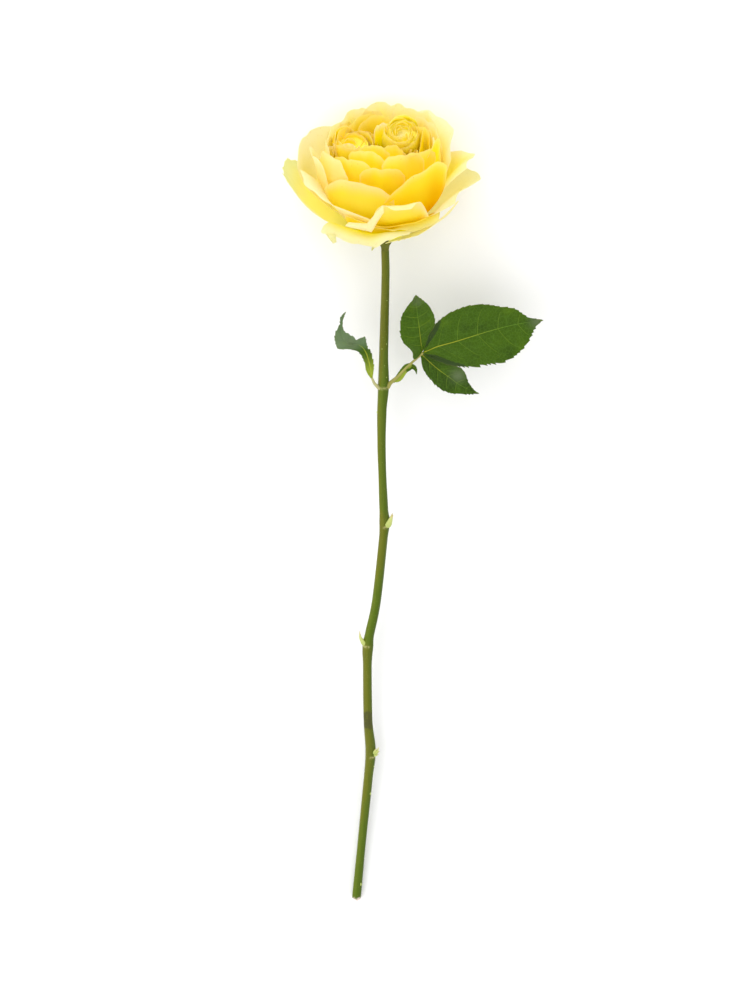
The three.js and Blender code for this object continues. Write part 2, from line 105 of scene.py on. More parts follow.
def find_place():
    """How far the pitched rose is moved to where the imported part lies, read from its cut end."""
    (x, y, _), (end_x, end_y, radius) = STEM[-2:]
    low_x = end_x - radius * math.cos(math.atan2(x - end_x, y - end_y))
    low_y = end_y * math.cos(LYING_PITCH) - radius * math.sin(LYING_PITCH)
    lo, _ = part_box("stem")
    return np.array([lo[0] / MM - low_x, lo[1] / MM - low_y, BASE_HEIGHT])


PLACE = find_place()


def to_world(points):
    return (turned(points, LYING_PITCH) + PLACE) * MM


def from_bloom(points):
    """From the bloom's frame (x right, y away from the eye, z along its axis) to the rose's."""
    return turned(points, BLOOM_NOD - math.pi / 2)


def press(points):
    """Presses flat what would dip into the table, and lifts it a little off between the feet."""
    height = points @ TABLE_UP + BASE_HEIGHT
    away = np.min([np.hypot(points[..., 0] - x, points[..., 1] - y) for x, y in FEET], 0)
    short = np.maximum(PETAL_THICK / 2 + BULGE * smooth(0, BULGE_REACH, away) - height, 0)
    return points + short[..., None] * TABLE_UP


# Meshes


def add_object(name, data):
    made = bpy.data.objects.new(name, data)
    bpy.context.collection.objects.link(made)
    return made


class Piece:
    """Gathers closed blades and tubes into one object. At its points it holds the values that
    the material reads: names lists them, and a value that a blade or tube doesn't give is 0."""

    def __init__(self, names):
        self.blank = dict.fromkeys(names.split(), 0.0)
        self.points, self.faces, self.values, self.count = [], [], {}, 0

    def rows(self, values, shape):
        """Each value as one row a point: a number fills the grid, grain keeps its three."""
        for name, value in {**self.blank, **values}.items():
            value = np.asarray(value, float)
            if value.ndim < 3:
                value = np.broadcast_to(value, shape)
            yield name, value.reshape(shape[0] * shape[1], -1)

    def add(self, points, faces, values):
        self.points.append(points)
        self.faces.append(np.concatenate(faces) + self.count)
        for name, value in values.items():
            self.values.setdefault(name, []).append(value)
        self.count += len(points)

    def blade(self, grid, thick, **values):
        """A thin closed sheet over a grid of points."""
        shape = grid.shape[:2]
        normal = np.cross(np.gradient(grid, axis=1), np.gradient(grid, axis=0))
        normal /= np.maximum(np.linalg.norm(normal, axis=-1, keepdims=True), 1e-9)
        half = normal * np.broadcast_to(np.asarray(thick) / 2, shape)[..., None]
        back = shape[0] * shape[1]
        index = np.arange(back).reshape(shape)
        front_faces = np.stack([index[:-1, :-1], index[:-1, 1:], index[1:, 1:], index[1:, :-1]], -1)
        front_faces = front_faces.reshape(-1, 4)
        ring = np.concatenate([index[0, :-1], index[:-1, -1], index[-1, :0:-1], index[:0:-1, 0]])
        after = np.roll(ring, -1)
        rim_faces = np.stack([ring, ring + back, after + back, after], 1)
        both = {name: np.concatenate([rows, rows]) for name, rows in self.rows(values, shape)}
        both["face"] = np.repeat([[1.0], [-1.0]], back, 0)
        self.add(np.concatenate([(grid + half).reshape(-1, 3), (grid - half).reshape(-1, 3)]),
                 [front_faces, front_faces[:, [0, 3, 2, 1]] + back, rim_faces], both)

    def tube(self, rings, **values):
        """A closed tube through rings of points (n, sides, 3), with a flat fan at each end."""
        count, sides = rings.shape[:2]
        index = np.arange(count * sides).reshape(count, sides)
        after = np.roll(index, -1, 1)
        first, last = np.full(sides, count * sides), np.full(sides, count * sides + 1)
        body = np.stack([index[:-1], after[:-1], after[1:], index[1:]], -1).reshape(-1, 4)
        start = np.stack([first, after[0], index[0], index[0]], 1)
        end = np.stack([last, index[-1], after[-1], after[-1]], 1)
        both = {}
        for name, rows in self.rows({**values, "grain": rings, "face": 1.0}, (count, sides)):
            both[name] = np.concatenate([rows, rows[:sides].mean(0)[None], rows[-sides:].mean(0)[None]])
        self.add(both["grain"], [body, start, end], both)

    def build(self, name, material, node):
        points = to_world(np.concatenate(self.points))
        faces = [tuple(dict.fromkeys(face)) for face in np.concatenate(self.faces).tolist()]
        mesh = bpy.data.meshes.new(name)
        mesh.from_pydata(points.tolist(), [], faces)
        for key, parts in self.values.items():
            data = np.concatenate(parts)
            kind, field = ("FLOAT", "value") if data.shape[1] == 1 else ("FLOAT_VECTOR", "vector")
            layer = mesh.attributes.new(key, kind, "POINT")
            layer.data.foreach_set(field, data.ravel().astype(np.float32))
        mesh.polygons.foreach_set("use_smooth", np.ones(len(mesh.polygons), bool))
        mesh.update()
        mesh.set_sharp_from_angle(angle=RIM_ANGLE)
        mesh.materials.append(material)
        piece = add_object(name, mesh)
        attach(piece, BODY)
        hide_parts(node)


def catmull(points, count):
    """Evenly spaced points on a smooth curve through the given ones."""
    points = np.asarray(points, float)
    ends = np.concatenate([[2 * points[0] - points[1]], points, [2 * points[-1] - points[-2]]])
    fine = []
    for a, b, c, d in zip(ends, ends[1:], ends[2:], ends[3:]):
        t = np.linspace(0, 1, 40, endpoint=False)[:, None]
        fine.append(0.5 * (2 * b + (c - a) * t + (2 * a - 5 * b + 4 * c - d) * t * t
                           + (3 * b - a - 3 * c + d) * t ** 3))
    fine = np.concatenate(fine + [points[-1:]])
    run = np.concatenate([[0], np.cumsum(np.linalg.norm(np.diff(fine, axis=0), axis=1))])
    places = np.linspace(0, run[-1], count)
    return np.stack([np.interp(places, run, fine[:, k]) for k in range(points.shape[1])], 1)


def evenly(values, count):
    """Values spread evenly over count places, with straight runs between them."""
    return np.interp(np.linspace(0, 1, count), np.linspace(0, 1, len(values)), values)


def around(sides):
    return np.linspace(0, 2 * math.pi, sides, endpoint=False)


def lathe(profile, count, sides):
    """Rings about the bloom's axis, on a smooth curve through a profile's radii and heights."""
    radius, height = catmull(profile, count).T[..., None]
    turns = around(sides)
    return np.stack([radius * np.cos(turns), radius * np.sin(turns), np.repeat(height, sides, 1)], -1)


def rings_along(path, radii, sides, flat=1.0):
    """Rings of points round a path, which follow it without twist."""
    ahead = np.gradient(path, axis=0)
    ahead /= np.linalg.norm(ahead, axis=1, keepdims=True)
    across = []
    side = np.array([1.0, 0.0, 0.0])
    for direction in ahead:
        side = side - direction * (side @ direction)
        side = side / np.linalg.norm(side)
        across.append(side)
    across = np.array(across)
    up = np.cross(ahead, across)
    radii = np.broadcast_to(np.asarray(radii, float), (len(path),))[:, None, None]
    turns = around(sides)[:, None]
    return path[:, None] + radii * (np.cos(turns) * across[:, None] + flat * np.sin(turns) * up[:, None])


# Petals

PETAL_VALUES = "rim margin tone bleach wash heart green deep base solid"

# az is where the petal stands round the bloom: 0 right, 90 rear, 180 left, 270 front. Its
# middle line leaves the core at radius r0 and height z0, leaning base degrees from the axis,
# and reaches its rim at radius R and height Z, leaning tip degrees. belly says how fully that
# line bows. wide is its breadth, claw the foot's as a share of it, and curve the radius of its
# cupping. roll and tip_roll say how far its sides and rim roll back, edge where the rim's roll
# starts, and fold how much further its left side turns back, as seen from outside. drop and
# point round its rim, slant lowers the right side of it, or the left if it is below 0, rag and
# wave make it ragged and rippled, skew turns it and sway bends it sideways. lean, lean_az and
# seat tip it over and move it. pale says how much its margin is bleached, wash and heart how
# much paler it is all over, green how much its rim is tinged, and deep how deep a gold
# painted shade makes it, most at its right side.
PETAL = dict(
    r0=4, z0=0, base=66, tip=-6, wide=34, curve=30, claw=0.3, belly=0.42, roll=10, tip_roll=10,
    edge=0.78, drop=0.16, point=3, slant=0, rag=0.5, wave=0.3, skew=0, sway=0, fold=0,
    lean=0, lean_az=0, seat=(0, 0, 0), pale=0.4, wash=0, heart=0, green=0, deep=0)


def petal(az, R, Z, **shape):
    return dict(az=az, R=R, Z=Z, **shape)


OUTER_PETALS = [
    # low at the front, with broad rims rolled back
    petal(251, 40.5, 12.5, base=84, tip=108, wide=48, curve=60, roll=30, tip_roll=70, drop=0.15,
          point=2.2, edge=0.84, wave=0.8, rag=1, pale=1, wash=0.25, green=0.4, fold=120),
    petal(299, 38, 19, z0=1, base=82, tip=80, wide=46, curve=50, roll=0, tip_roll=80, edge=0.88,
          drop=0.2, point=2.2, wave=0.8, rag=1, lean=6, lean_az=202, pale=0.45, green=0.3, deep=0.25),
    petal(216, 43.5, 32, z0=2, base=80, tip=62, wide=46, curve=42, roll=20, tip_roll=110,
          drop=0.08, point=2.6, edge=0.92, slant=0.2, lean=8, lean_az=307, pale=1, wash=1),
    petal(281, 42.5, 36, z0=7, base=76, tip=20, wide=30, curve=46, roll=60, tip_roll=110,
          drop=0.3, edge=0.88, wave=0.2, pale=0.8, wash=0.2, green=0.15, fold=60),
    # spreading at the right
    petal(348, 48, 35, z0=2, base=80, tip=54, wide=50, curve=40, roll=90, tip_roll=20, belly=0.3,
          drop=0.19, point=1.6, slant=0.1, wave=0.5, pale=1, wash=0.85, green=0.6),
    petal(360, 46.4, 44.8, z0=4, base=76, tip=68, wide=40, curve=38, roll=70, drop=0.12, belly=0.35,
          point=1.6, slant=0.22, wave=0.4, pale=0.8, wash=0.35, green=0.1),
    petal(30, 33.5, 55, z0=5, base=76, tip=26, wide=46, curve=36, roll=50, tip_roll=30,
          drop=0.13, slant=-0.09, wave=0.5, pale=1, wash=0.5),
    # spreading at the left
    petal(170, 49.2, 34, z0=1, base=80, tip=27, wide=30, curve=42, roll=30, drop=0.08,
          point=1.8, wave=0.6, rag=1.2, pale=0.8, wash=0.6, green=1),
    petal(147.5, 40.6, 44.5, z0=3, base=74, tip=-17, wide=48, curve=36, roll=20, tip_roll=24,
          drop=0.15, wave=0.5, pale=0.9, wash=0.9, green=0.15),
    # at the rear, which the rose lies on
    petal(118, 39, 46, z0=1, base=78, tip=6, wide=40, curve=41, roll=30, tip_roll=30,
          drop=0.36, point=2.6, skew=0.05, pale=0.8, wash=0.5, green=0.4),
    petal(72, 36.5, 45, z0=4, base=73, tip=4, wide=40, curve=37, roll=30, tip_roll=30,
          drop=0.36, point=2.6, skew=0.05, pale=0.8, wash=0.5, green=0.3),
    # one more that fills in at the front
    petal(277, 36.5, 20.5, z0=2, base=80, tip=60, wide=46, curve=40, tip_roll=20, drop=0.15, pale=0.3),
]

# Folded margins at the front, each as its corners in the bloom's frame and how green it is: at
# the left of the upright front petal, on the petal behind that, and a drooping lobe at the
# lowest petal's left end
FLAPS = [
    ([(-0.9, -42.6, 32.5), (-0.3, -40.5, 28.4), (-6.5, -38.2, 17.1), (-8.6, -37.0, 20.9)], 0),
    ([(-8.6, -37.0, 20.9), (-6.5, -38.2, 17.1), (-18.8, -33.3, 18.2), (-17.1, -33.5, 20.1)], 0),
    ([(-28.9, -30.9, 14.0), (-23.5, -31.9, 13.4), (-23.2, -32.5, 9.5), (-24.8, -32.6, 8.9)], 0.9),
]
FLAP_BULGE = 1.3
FLAP_SEED = 91

CUP_PETALS = [
    petal(291, 37, 54, z0=5, base=76, tip=-4, wide=38, curve=32, roll=50, tip_roll=40, drop=0.14,
          slant=-0.4, wave=0.2, pale=0.35, deep=0.82),
    petal(245.5, 34, 40, z0=5, base=74, tip=-8, wide=38, curve=33, tip_roll=6, wave=0.15, rag=0.3,
          pale=0.55, wash=0.1),
    petal(321.7, 28.7, 56.8, z0=6, tip=7, curve=29, wide=18, roll=20, drop=0.3, point=1.4, sway=0.078),
    petal(193, 33.1, 46.5, z0=6, base=72, tip=-9, wide=30, curve=34, roll=40, tip_roll=30, drop=0.15,
          pale=0.8, wash=0.7),
    petal(213, 30.2, 48, z0=6, tip=-17, wide=27, curve=32, drop=0.14, wave=0.2, wash=0.6),
    petal(267.6, 28.8, 46.3, z0=8, base=66, tip=0, wide=22, curve=31, drop=0.08, wave=0.2),
    petal(289.6, 26.7, 52, z0=9, base=60, tip=-18, wide=22, curve=24, drop=0.08, wave=0.2),
    petal(307.5, 26.8, 51.5, z0=8, wide=23, curve=27, drop=0.06, wave=0.2),
    petal(236, 27.7, 48.7, z0=8, tip=-8, wide=24, curve=27, drop=0.07, wave=0.2),
    petal(247.6, 22.8, 52, z0=10, base=50, tip=-15, wide=20, curve=20, drop=0.09, wave=0.2),
    petal(281.6, 13, 51.5, z0=12, base=40, tip=-11, wide=13, curve=16, drop=0.08, wave=0.2),
    petal(251.2, 16, 52.6, z0=12, base=40, tip=-12, wide=16, curve=16, drop=0.08, wave=0.2),
    petal(8, 18, 54.5, z0=14, base=40, tip=-8, wide=14, curve=18, drop=0.45, point=1.3, skew=-0.5),
    petal(100, 21, 53, z0=14, base=40, tip=-14, wide=20, curve=18, tip_roll=20, drop=0.1, skew=0.1),
]

# The rim behind the hollow of the cup and petals inside it, as az, R and Z of each
REAR_RIM = [(4, 22.5, 51.5), (32, 24, 54), (60, 27, 56), (88, 30, 56.8), (116, 29, 54.8),
            (144, 28, 51.2), (172, 27, 48)]
REAR_INNER = [(112, 24, 52.5), (148, 23, 49.5), (24, 19, 52)]

# The heart is two whorls of petals side by side and one before them, each about a leaning axis
# that starts at its seat. Its rings narrow by the share shrink each, and sink by sink each.
WHORLS = [
    dict(stance=dict(lean=18, lean_az=300, seat=(-17.5, 11.8, 33.2), heart=0.2), turn=20,
         radius=8.8, height=15, rings=3, shrink=0.28, sink=2.0, floor_pale=0.0),
    dict(stance=dict(lean=40, lean_az=275, seat=(7.8, 19.1, 38.7), heart=0.8), turn=80,
         radius=8.0, height=16, rings=6, shrink=0.155, sink=0.3, floor_pale=0.6),
    dict(stance=dict(lean=4, lean_az=270, seat=(0.5, -2.5, 30), heart=0.3), turn=50,
         radius=9.8, height=11.2, rings=5, shrink=0.185, sink=0.4, floor_pale=0.2),
]
WHORL_TURN = 47             # from one ring to the next, in degrees
WHORL_ROOT = -6
FLOOR_DEPTH = 4.4
FLOOR_SHARE = 0.92

# Single petals stand on edge between the whorls and crumpled at the left one's front
FOLDED_PETAL = petal(262, 2, 20, seat=(-2.4, 12, 34), r0=0.5, wide=7, base=10, tip=8, curve=5,
                     claw=0.7, skew=0.35, sway=0.06, wave=0.5, drop=0.2, pale=1)
CRUMPLED = dict(r0=0.5, base=6, tip=-14, curve=6, claw=0.8, wave=0.8, rag=1.5, pale=1, wash=0.4)
CRUMPLED_PETALS = [{**CRUMPLED, **given} for given in (
    petal(250, 1.5, 14.6, seat=(-19.3, 3.4, 30), wide=9, skew=0.3, slant=0.3),
    petal(212, 1.5, 15.6, seat=(-22.6, 5.0, 30), wide=6, skew=-0.4, wash=0),
    petal(200, 1.5, 15.2, seat=(-24.6, 4.6, 29), wide=6, skew=0.4, wash=0),
    petal(285, 1.5, 14.0, seat=(-18.4, 7.6, 31), wide=8, skew=-0.3, tip=-40),
    petal(270, 1.5, 12.6, seat=(-14.6, 5.2, 31), wide=7, skew=0.2, tip=20))]

# Low petals fill the cup round the third whorl, as az, R and Z, stand behind the other two, as
# seat, az, R and Z, and hug their backs, as whorl, az, R and Z
FILL = [(300, 17, 46), (335, 18, 44), (125, 15, 40), (205, 20, 41), (230, 19, 44), (268, 20, 42),
        (178, 12.5, 41.5), (215, 12.5, 42), (250, 12.5, 42.5), (286, 12.5, 43), (322, 12.5, 43.5),
        (358, 12.5, 43.5), (30, 12, 43), (100, 12, 43), (140, 12, 41), (195, 15.5, 42), (236, 15.5, 43),
        (272, 15.5, 44), (312, 15, 44.5), (345, 15.5, 44.5), (222, 21.5, 43), (252, 18, 44), (186, 22, 42),
        (98, 17, 46), (94, 22, 47), (70, 22, 48)]
RIGHT_SEAT, LEFT_SEAT = (7, 11, 30), (-15, 10, 30)
WRAPS = [(RIGHT_SEAT, 60, 11, 19.5), (RIGHT_SEAT, 98, 11.5, 19), (RIGHT_SEAT, 135, 11, 17),
         (RIGHT_SEAT, 78, 13.5, 18.5), (LEFT_SEAT, 60, 11, 16), (LEFT_SEAT, 100, 11, 15.5),
         (LEFT_SEAT, 20, 11, 14)]
HUGS = [(0, 70, 9.4, 11.5), (0, 110, 9.7, 9), (0, 35, 9.8, 8), (1, 95, 8.7, 12.5), (1, 50, 9.1, 9.5),
        (1, 140, 9.2, 9), (1, 90, 9.7, 7)]

# The core's outline, as radii and heights
CORE = [(0.3, HIP_TOP + GAP), (5, HIP_TOP + GAP), (12, 5), (19, 14), (23, 25), (21.5, 31), (15, 33.5),
        (0.3, 34)]


def rear_petals():
    made = [petal(az, R, Z, base=64, tip=-16, wide=30, curve=R, tip_roll=8, drop=0.12, skew=0.1, pale=0.8,
                  wash=0.5, heart=0.3, rag=0.9, wave=0.5) for az, R, Z in REAR_RIM]
    return made + [petal(az, R, Z, base=58, tip=-18, wide=28, curve=R - 1, roll=8, tip_roll=14, drop=0.12,
                         skew=0.14, heart=0.35) for az, R, Z in REAR_INNER]


def whorl_petal(whorl, az, R, Z, **shape):
    return petal(az, R, Z, r0=0.8 * R, z0=WHORL_ROOT, base=20, roll=6, pale=0.6, **whorl["stance"], **shape)


def whorl_ring(whorl, ring):
    """The radius and height of a whorl's ring."""
    return whorl["radius"] * (1 - whorl["shrink"] * ring), whorl["height"] - whorl["sink"] * ring


def whorl_petals():
    made = [FOLDED_PETAL, *CRUMPLED_PETALS]
    for whorl in WHORLS:
        for ring in range(whorl["rings"]):
            R, Z = whorl_ring(whorl, ring)
            count = 3 if ring < whorl["rings"] - 1 else 2
            for i in range(count):
                az = whorl["turn"] + WHORL_TURN * ring + 360 * i / count
                made.append(whorl_petal(whorl, az, R, Z, tip=-22, wide=2.1 * R + 1, curve=0.95 * R,
                                        claw=0.9, skew=0.1, drop=0.1, wave=0.2))
    return made


def inner_petals():
    made = [petal(az, R, Z, z0=14, base=40, tip=-8, wide=1.25 * R, curve=R, drop=0.12, wave=0.3,
                  skew=0.12, heart=0.2) for az, R, Z in FILL]
    made += [petal(az, R, Z, r0=0.6 * R, base=20, tip=-10, wide=1.6 * R, curve=R, claw=0.7, drop=0.1,
                   wave=0.3, skew=0.1, heart=0.2, seat=seat) for seat, az, R, Z in WRAPS]
    made += [whorl_petal(WHORLS[whorl], az, R, Z, tip=-14, wide=2 * R, curve=R, claw=0.8, drop=0.12,
                         wave=0.15, skew=0.05) for whorl, az, R, Z in HUGS]
    return made


def leant(points, lean, az):
    """Points tipped over by lean degrees towards az."""
    lean, az = math.radians(lean), math.radians(az)
    axis = np.array([-math.sin(az), math.cos(az), 0])
    along = (points @ axis)[..., None] * axis
    return along + (points - along) * math.cos(lean) + np.cross(axis, points) * math.sin(lean)


def whorl_floor(whorl):
    """A shallow dome that closes a whorl between its rings."""
    radii, heights = whorl_ring(whorl, (whorl["rings"] - 1) * np.linspace(0, 1, 7))
    radii, heights = radii * FLOOR_SHARE, heights - FLOOR_DEPTH
    profile = [(0.3, -4), (radii[0] * 0.9, -3), *zip(radii, heights), (0.2, heights[-1] + 0.6)]
    stance = whorl["stance"]
    return from_bloom(leant(lathe(profile, 36, 40), stance["lean"], stance["lean_az"]) + stance["seat"])


def middle_line(p):
    """The petal's middle line, with its rim rolled back: radius, rise and lean at even steps."""
    t = np.linspace(0, 1, 201)
    reach = p["belly"] * math.hypot(p["R"] - p["r0"], p["Z"] - p["z0"])
    base, tip = math.radians(p["base"]), math.radians(p["tip"])
    corners = np.array([
        (p["r0"], p["z0"]),
        (p["r0"] + reach * math.sin(base), p["z0"] + reach * math.cos(base)),
        (p["R"] - reach * math.sin(tip), p["Z"] - reach * math.cos(tip)),
        (p["R"], p["Z"])])
    weights = np.stack([(1 - t) ** 3, 3 * (1 - t) ** 2 * t, 3 * (1 - t) * t * t, t ** 3], 1)
    step = np.diff(weights @ corners, axis=0)
    step = np.concatenate([step, step[-1:]])
    lean = np.arctan2(step[:, 0], step[:, 1]) + math.radians(p["tip_roll"]) * smooth(p["edge"], 1, t)
    length = np.hypot(step[:, 0], step[:, 1])
    r = p["r0"] + np.concatenate([[0], np.cumsum(length * np.sin(lean))[:-1]])
    z = p["z0"] + np.concatenate([[0], np.cumsum(length * np.cos(lean))[:-1]])
    return t, r, z, lean


def petal_surface(given, seed, u, v):
    """Points of a petal's middle surface in the bloom's frame, from side to side as u runs from
    -1 to 1 and from foot to rim as v runs from 0 to 1."""
    p = {**PETAL, **given}
    phase = [(seed * (12.9898 + 4.1414 * k)) % (2 * math.pi) for k in range(6)]
    ragged = 0.018 * np.sin(5.3 * u + phase[0]) + 0.012 * np.sin(11.7 * u + phase[1])
    ragged = ragged + 0.004 * np.sin(23 * u + phase[4]) * np.sin(7 * u + phase[5])
    slant = abs(p["slant"]) * ((1 + np.sign(p["slant"]) * u) / 2) ** 1.5
    t = v * (1 - p["drop"] * np.abs(u) ** p["point"] - slant + p["rag"] * ragged)
    places, *lines = middle_line(p)
    r, z, lean = (np.interp(t, places, line) for line in lines)
    half = p["wide"] / 2 * (p["claw"] + (1 - p["claw"]) * smooth(-0.05, 0.75, t))
    back = np.radians(p["roll"] + p["fold"] * (u < 0)) * smooth(0.25, 0.9, t)
    steps = 16
    x, inward = np.zeros_like(t), np.zeros_like(t)
    for i in range(steps):
        out = np.abs(u) * (i + 0.5) / steps
        turn = out * half / p["curve"] - back * smooth(0.62, 1, out)
        x = x + np.cos(turn) * half * u / steps
        inward = inward + np.sin(turn) * half * np.abs(u) / steps
    ripple = np.sin(4.1 * u + 3 * t + phase[2]) + 0.6 * np.sin(9.3 * u - 4 * t + phase[3])
    inward = inward + p["wave"] * smooth(0.45, 1, np.maximum(np.abs(u), t)) * ripple + p["skew"] * x
    x = x + p["sway"] * math.hypot(p["R"] - p["r0"], p["Z"] - p["z0"]) * t * t
    radius, rise = r - np.cos(lean) * inward, z + np.sin(lean) * inward
    c, s = math.cos(math.radians(p["az"])), math.sin(math.radians(p["az"]))
    points = np.stack([radius * c - x * s, radius * s + x * c, rise], -1)
    return leant(points, p["lean"], p["lean_az"]) + np.array(p["seat"], float)


def add_petal(piece, given, seed, rows, cols, tone):
    p = {**PETAL, **given}
    crowding = math.pi / 2 * 0.9            # brings the columns closer together at the sides
    u, v = np.meshgrid(np.sin(np.linspace(-crowding, crowding, cols)) / math.sin(crowding),
                       np.linspace(0, 1, rows) ** 0.85)
    points = petal_surface(p, seed, u, v)
    margin = np.maximum(np.abs(u) ** 3 * smooth(0.2, 0.6, v), v ** 4)
    bleach = smooth(0.95 - 0.75 * p["pale"], 1.25 - 0.25 * p["pale"], margin) * (0.45 + 0.55 * p["pale"])
    # Painted shade: a deep gold over the petal, strongest at its right side and fading out at its rim
    deep = p["deep"] * (0.35 + 0.65 * smooth(0.1, 0.8, u)) * smooth(1, 0.7, v)
    grain = np.stack([u * p["wide"] / 2 * (0.3 + 0.7 * v), v * 45, np.full_like(u, seed * 7.3)], -1)
    piece.blade(press(from_bloom(points)), PETAL_THICK * (1 - 0.8 * margin), rim=v, margin=margin, tone=tone,
                bleach=bleach, wash=p["wash"], heart=p["heart"], green=p["green"], deep=deep,
                base=smooth(8, 2, points[..., 2]), grain=grain)


def add_flap(piece, corners, green, seed):
    """A small bulging patch between four corners."""
    u, v = np.meshgrid(np.linspace(0, 1, 16), np.linspace(0, 1, 30))
    a, b, c, d = np.array(corners, float)
    along, across = v[..., None], u[..., None]
    grid = (1 - along) * ((1 - across) * a + across * b) + along * ((1 - across) * d + across * c)
    normal = np.cross(b - a, d - a)
    normal /= -np.linalg.norm(normal) * np.sign(normal[1])
    rise = FLAP_BULGE * np.sin(math.pi * u) + 0.25 * np.sin(5 * v + seed) + 0.12 * np.sin(13 * v + 4 * u)
    grain = np.stack([u * 4, v * 12, np.full_like(u, seed * 3.1)], -1)
    piece.blade(from_bloom(grid + rise[..., None] * normal), FLAP_THICK, rim=0.85,
                margin=np.abs(2 * u - 1) ** 3, bleach=0.6, wash=1, green=green, grain=grain)


def add_fillings(piece):
    """The core that the petals grow from, and the whorls' floors."""
    core = from_bloom(lathe(CORE, 40, 48))
    along = np.linspace(0, 1, len(core))[:, None]
    piece.tube(core, rim=0.6, base=smooth(0.6, 0.3, along), solid=1)
    for whorl in WHORLS:
        floor = whorl_floor(whorl)
        along = np.linspace(0, 1, len(floor))[:, None]
        pale = whorl["floor_pale"] * smooth(0.8, 1, along)
        piece.tube(floor, rim=1, heart=whorl["stance"]["heart"], bleach=pale, solid=1)


def make_bloom(material):
    chance = np.random.default_rng(11)
    for name, petals, first_seed, rows, cols in (
            ("petals_outer", OUTER_PETALS, 1, 56, 44),
            ("petals_cup", CUP_PETALS, 21, 44, 36),
            ("petals_rear", rear_petals(), 41, 36, 30),
            ("petals_heart", whorl_petals(), 61, 24, 28),
            ("petals_inner", inner_petals(), 121, 20, 22)):
        piece = Piece(PETAL_VALUES)
        for i, given in enumerate(petals):
            add_petal(piece, given, first_seed + i, rows, cols, chance.uniform(-1, 1))
        if name == "petals_outer":
            for i, (corners, green) in enumerate(FLAPS):
                add_flap(piece, corners, green, FLAP_SEED + i)
        if name == "petals_heart":
            add_fillings(piece)
        piece.build(name, material, "petals")


# Stem, calyx and buds

STEM_VALUES = "fresh lit scar bark cut bump"

# How fresh the green is down the stem, as y and a share
FRESHNESS = [(0, 0.3), (-45, 0.2), (-62, 0.55), (-78, 0.85), (-95, 0.6), (-140, 0.7), (-148, 0.3),
             (-168, 0.35), (-185, 0.9), (-208, 0.95), (-214, 0.35), (-262, 0.25), (-290, 0.45),
             (-310, 0.75), (-352, 1.0)]

# Scars across the stem where leaves grew, as y, slant, the side they face and how far they
# reach round to each side of it, in degrees
SCARS = [(-77.4, 0.0, 90, 400), (-149.6, 0.12, 45, 75), (-212.9, -0.1, 135, 75), (-272.8, 0.1, 45, 70)]

# Small pale bumps on the bark, as x and z of the way that they face, y and length
BUMPS = [(-2.3, 0.6, -90.3, 1.3), (1.9, 1.2, -278, 0.8), (1.9, 1.0, -281.5, 0.6), (-2.0, 0.8, -281, 0.5),
         (1.8, 1.4, -292.9, 1.7), (1.6, 1.6, -343, 1.9), (0.9, 1.9, -33, 0.5), (1.2, 1.8, -55, 0.6),
         (-0.9, 2.0, -57.5, 0.6), (1.3, 2.0, -72, 0.5), (0.4, 2.2, -66, 0.4), (-1.7, 1.2, -20, 0.4)]

# The foot and top of the dark ring in the bark
RING_FOOT, RING_TOP = -257.0, -248.3


def stem_at(y):
    """Middle x and radius of the stem at a height."""
    xs, ys, rs = np.array(STEM).T
    i = np.clip(np.searchsorted(-ys, -np.asarray(y, float)), 1, len(ys) - 1)
    share = smooth(0, 1, (ys[i - 1] - y) / (ys[i - 1] - ys[i]))
    line = catmull(np.stack([xs, ys], 1), 800)
    return np.interp(-np.asarray(y, float), -line[:, 1], line[:, 0]), rs[i - 1] + (rs[i] - rs[i - 1]) * share


def add_bark(piece, rings, **values):
    """Rings of the stem or of a bump on it, with lit running from -1 at the left to 1 at the right, for
    painted shade on the right side.
    """
    heights, shares = np.array(FRESHNESS).T
    fresh = np.interp(-rings[..., 1], -heights, shares)
    lit = (rings[..., 0] - stem_at(rings[..., 1])[0]) / STEM_END_RADIUS
    piece.tube(rings, fresh=fresh, lit=lit, **values)


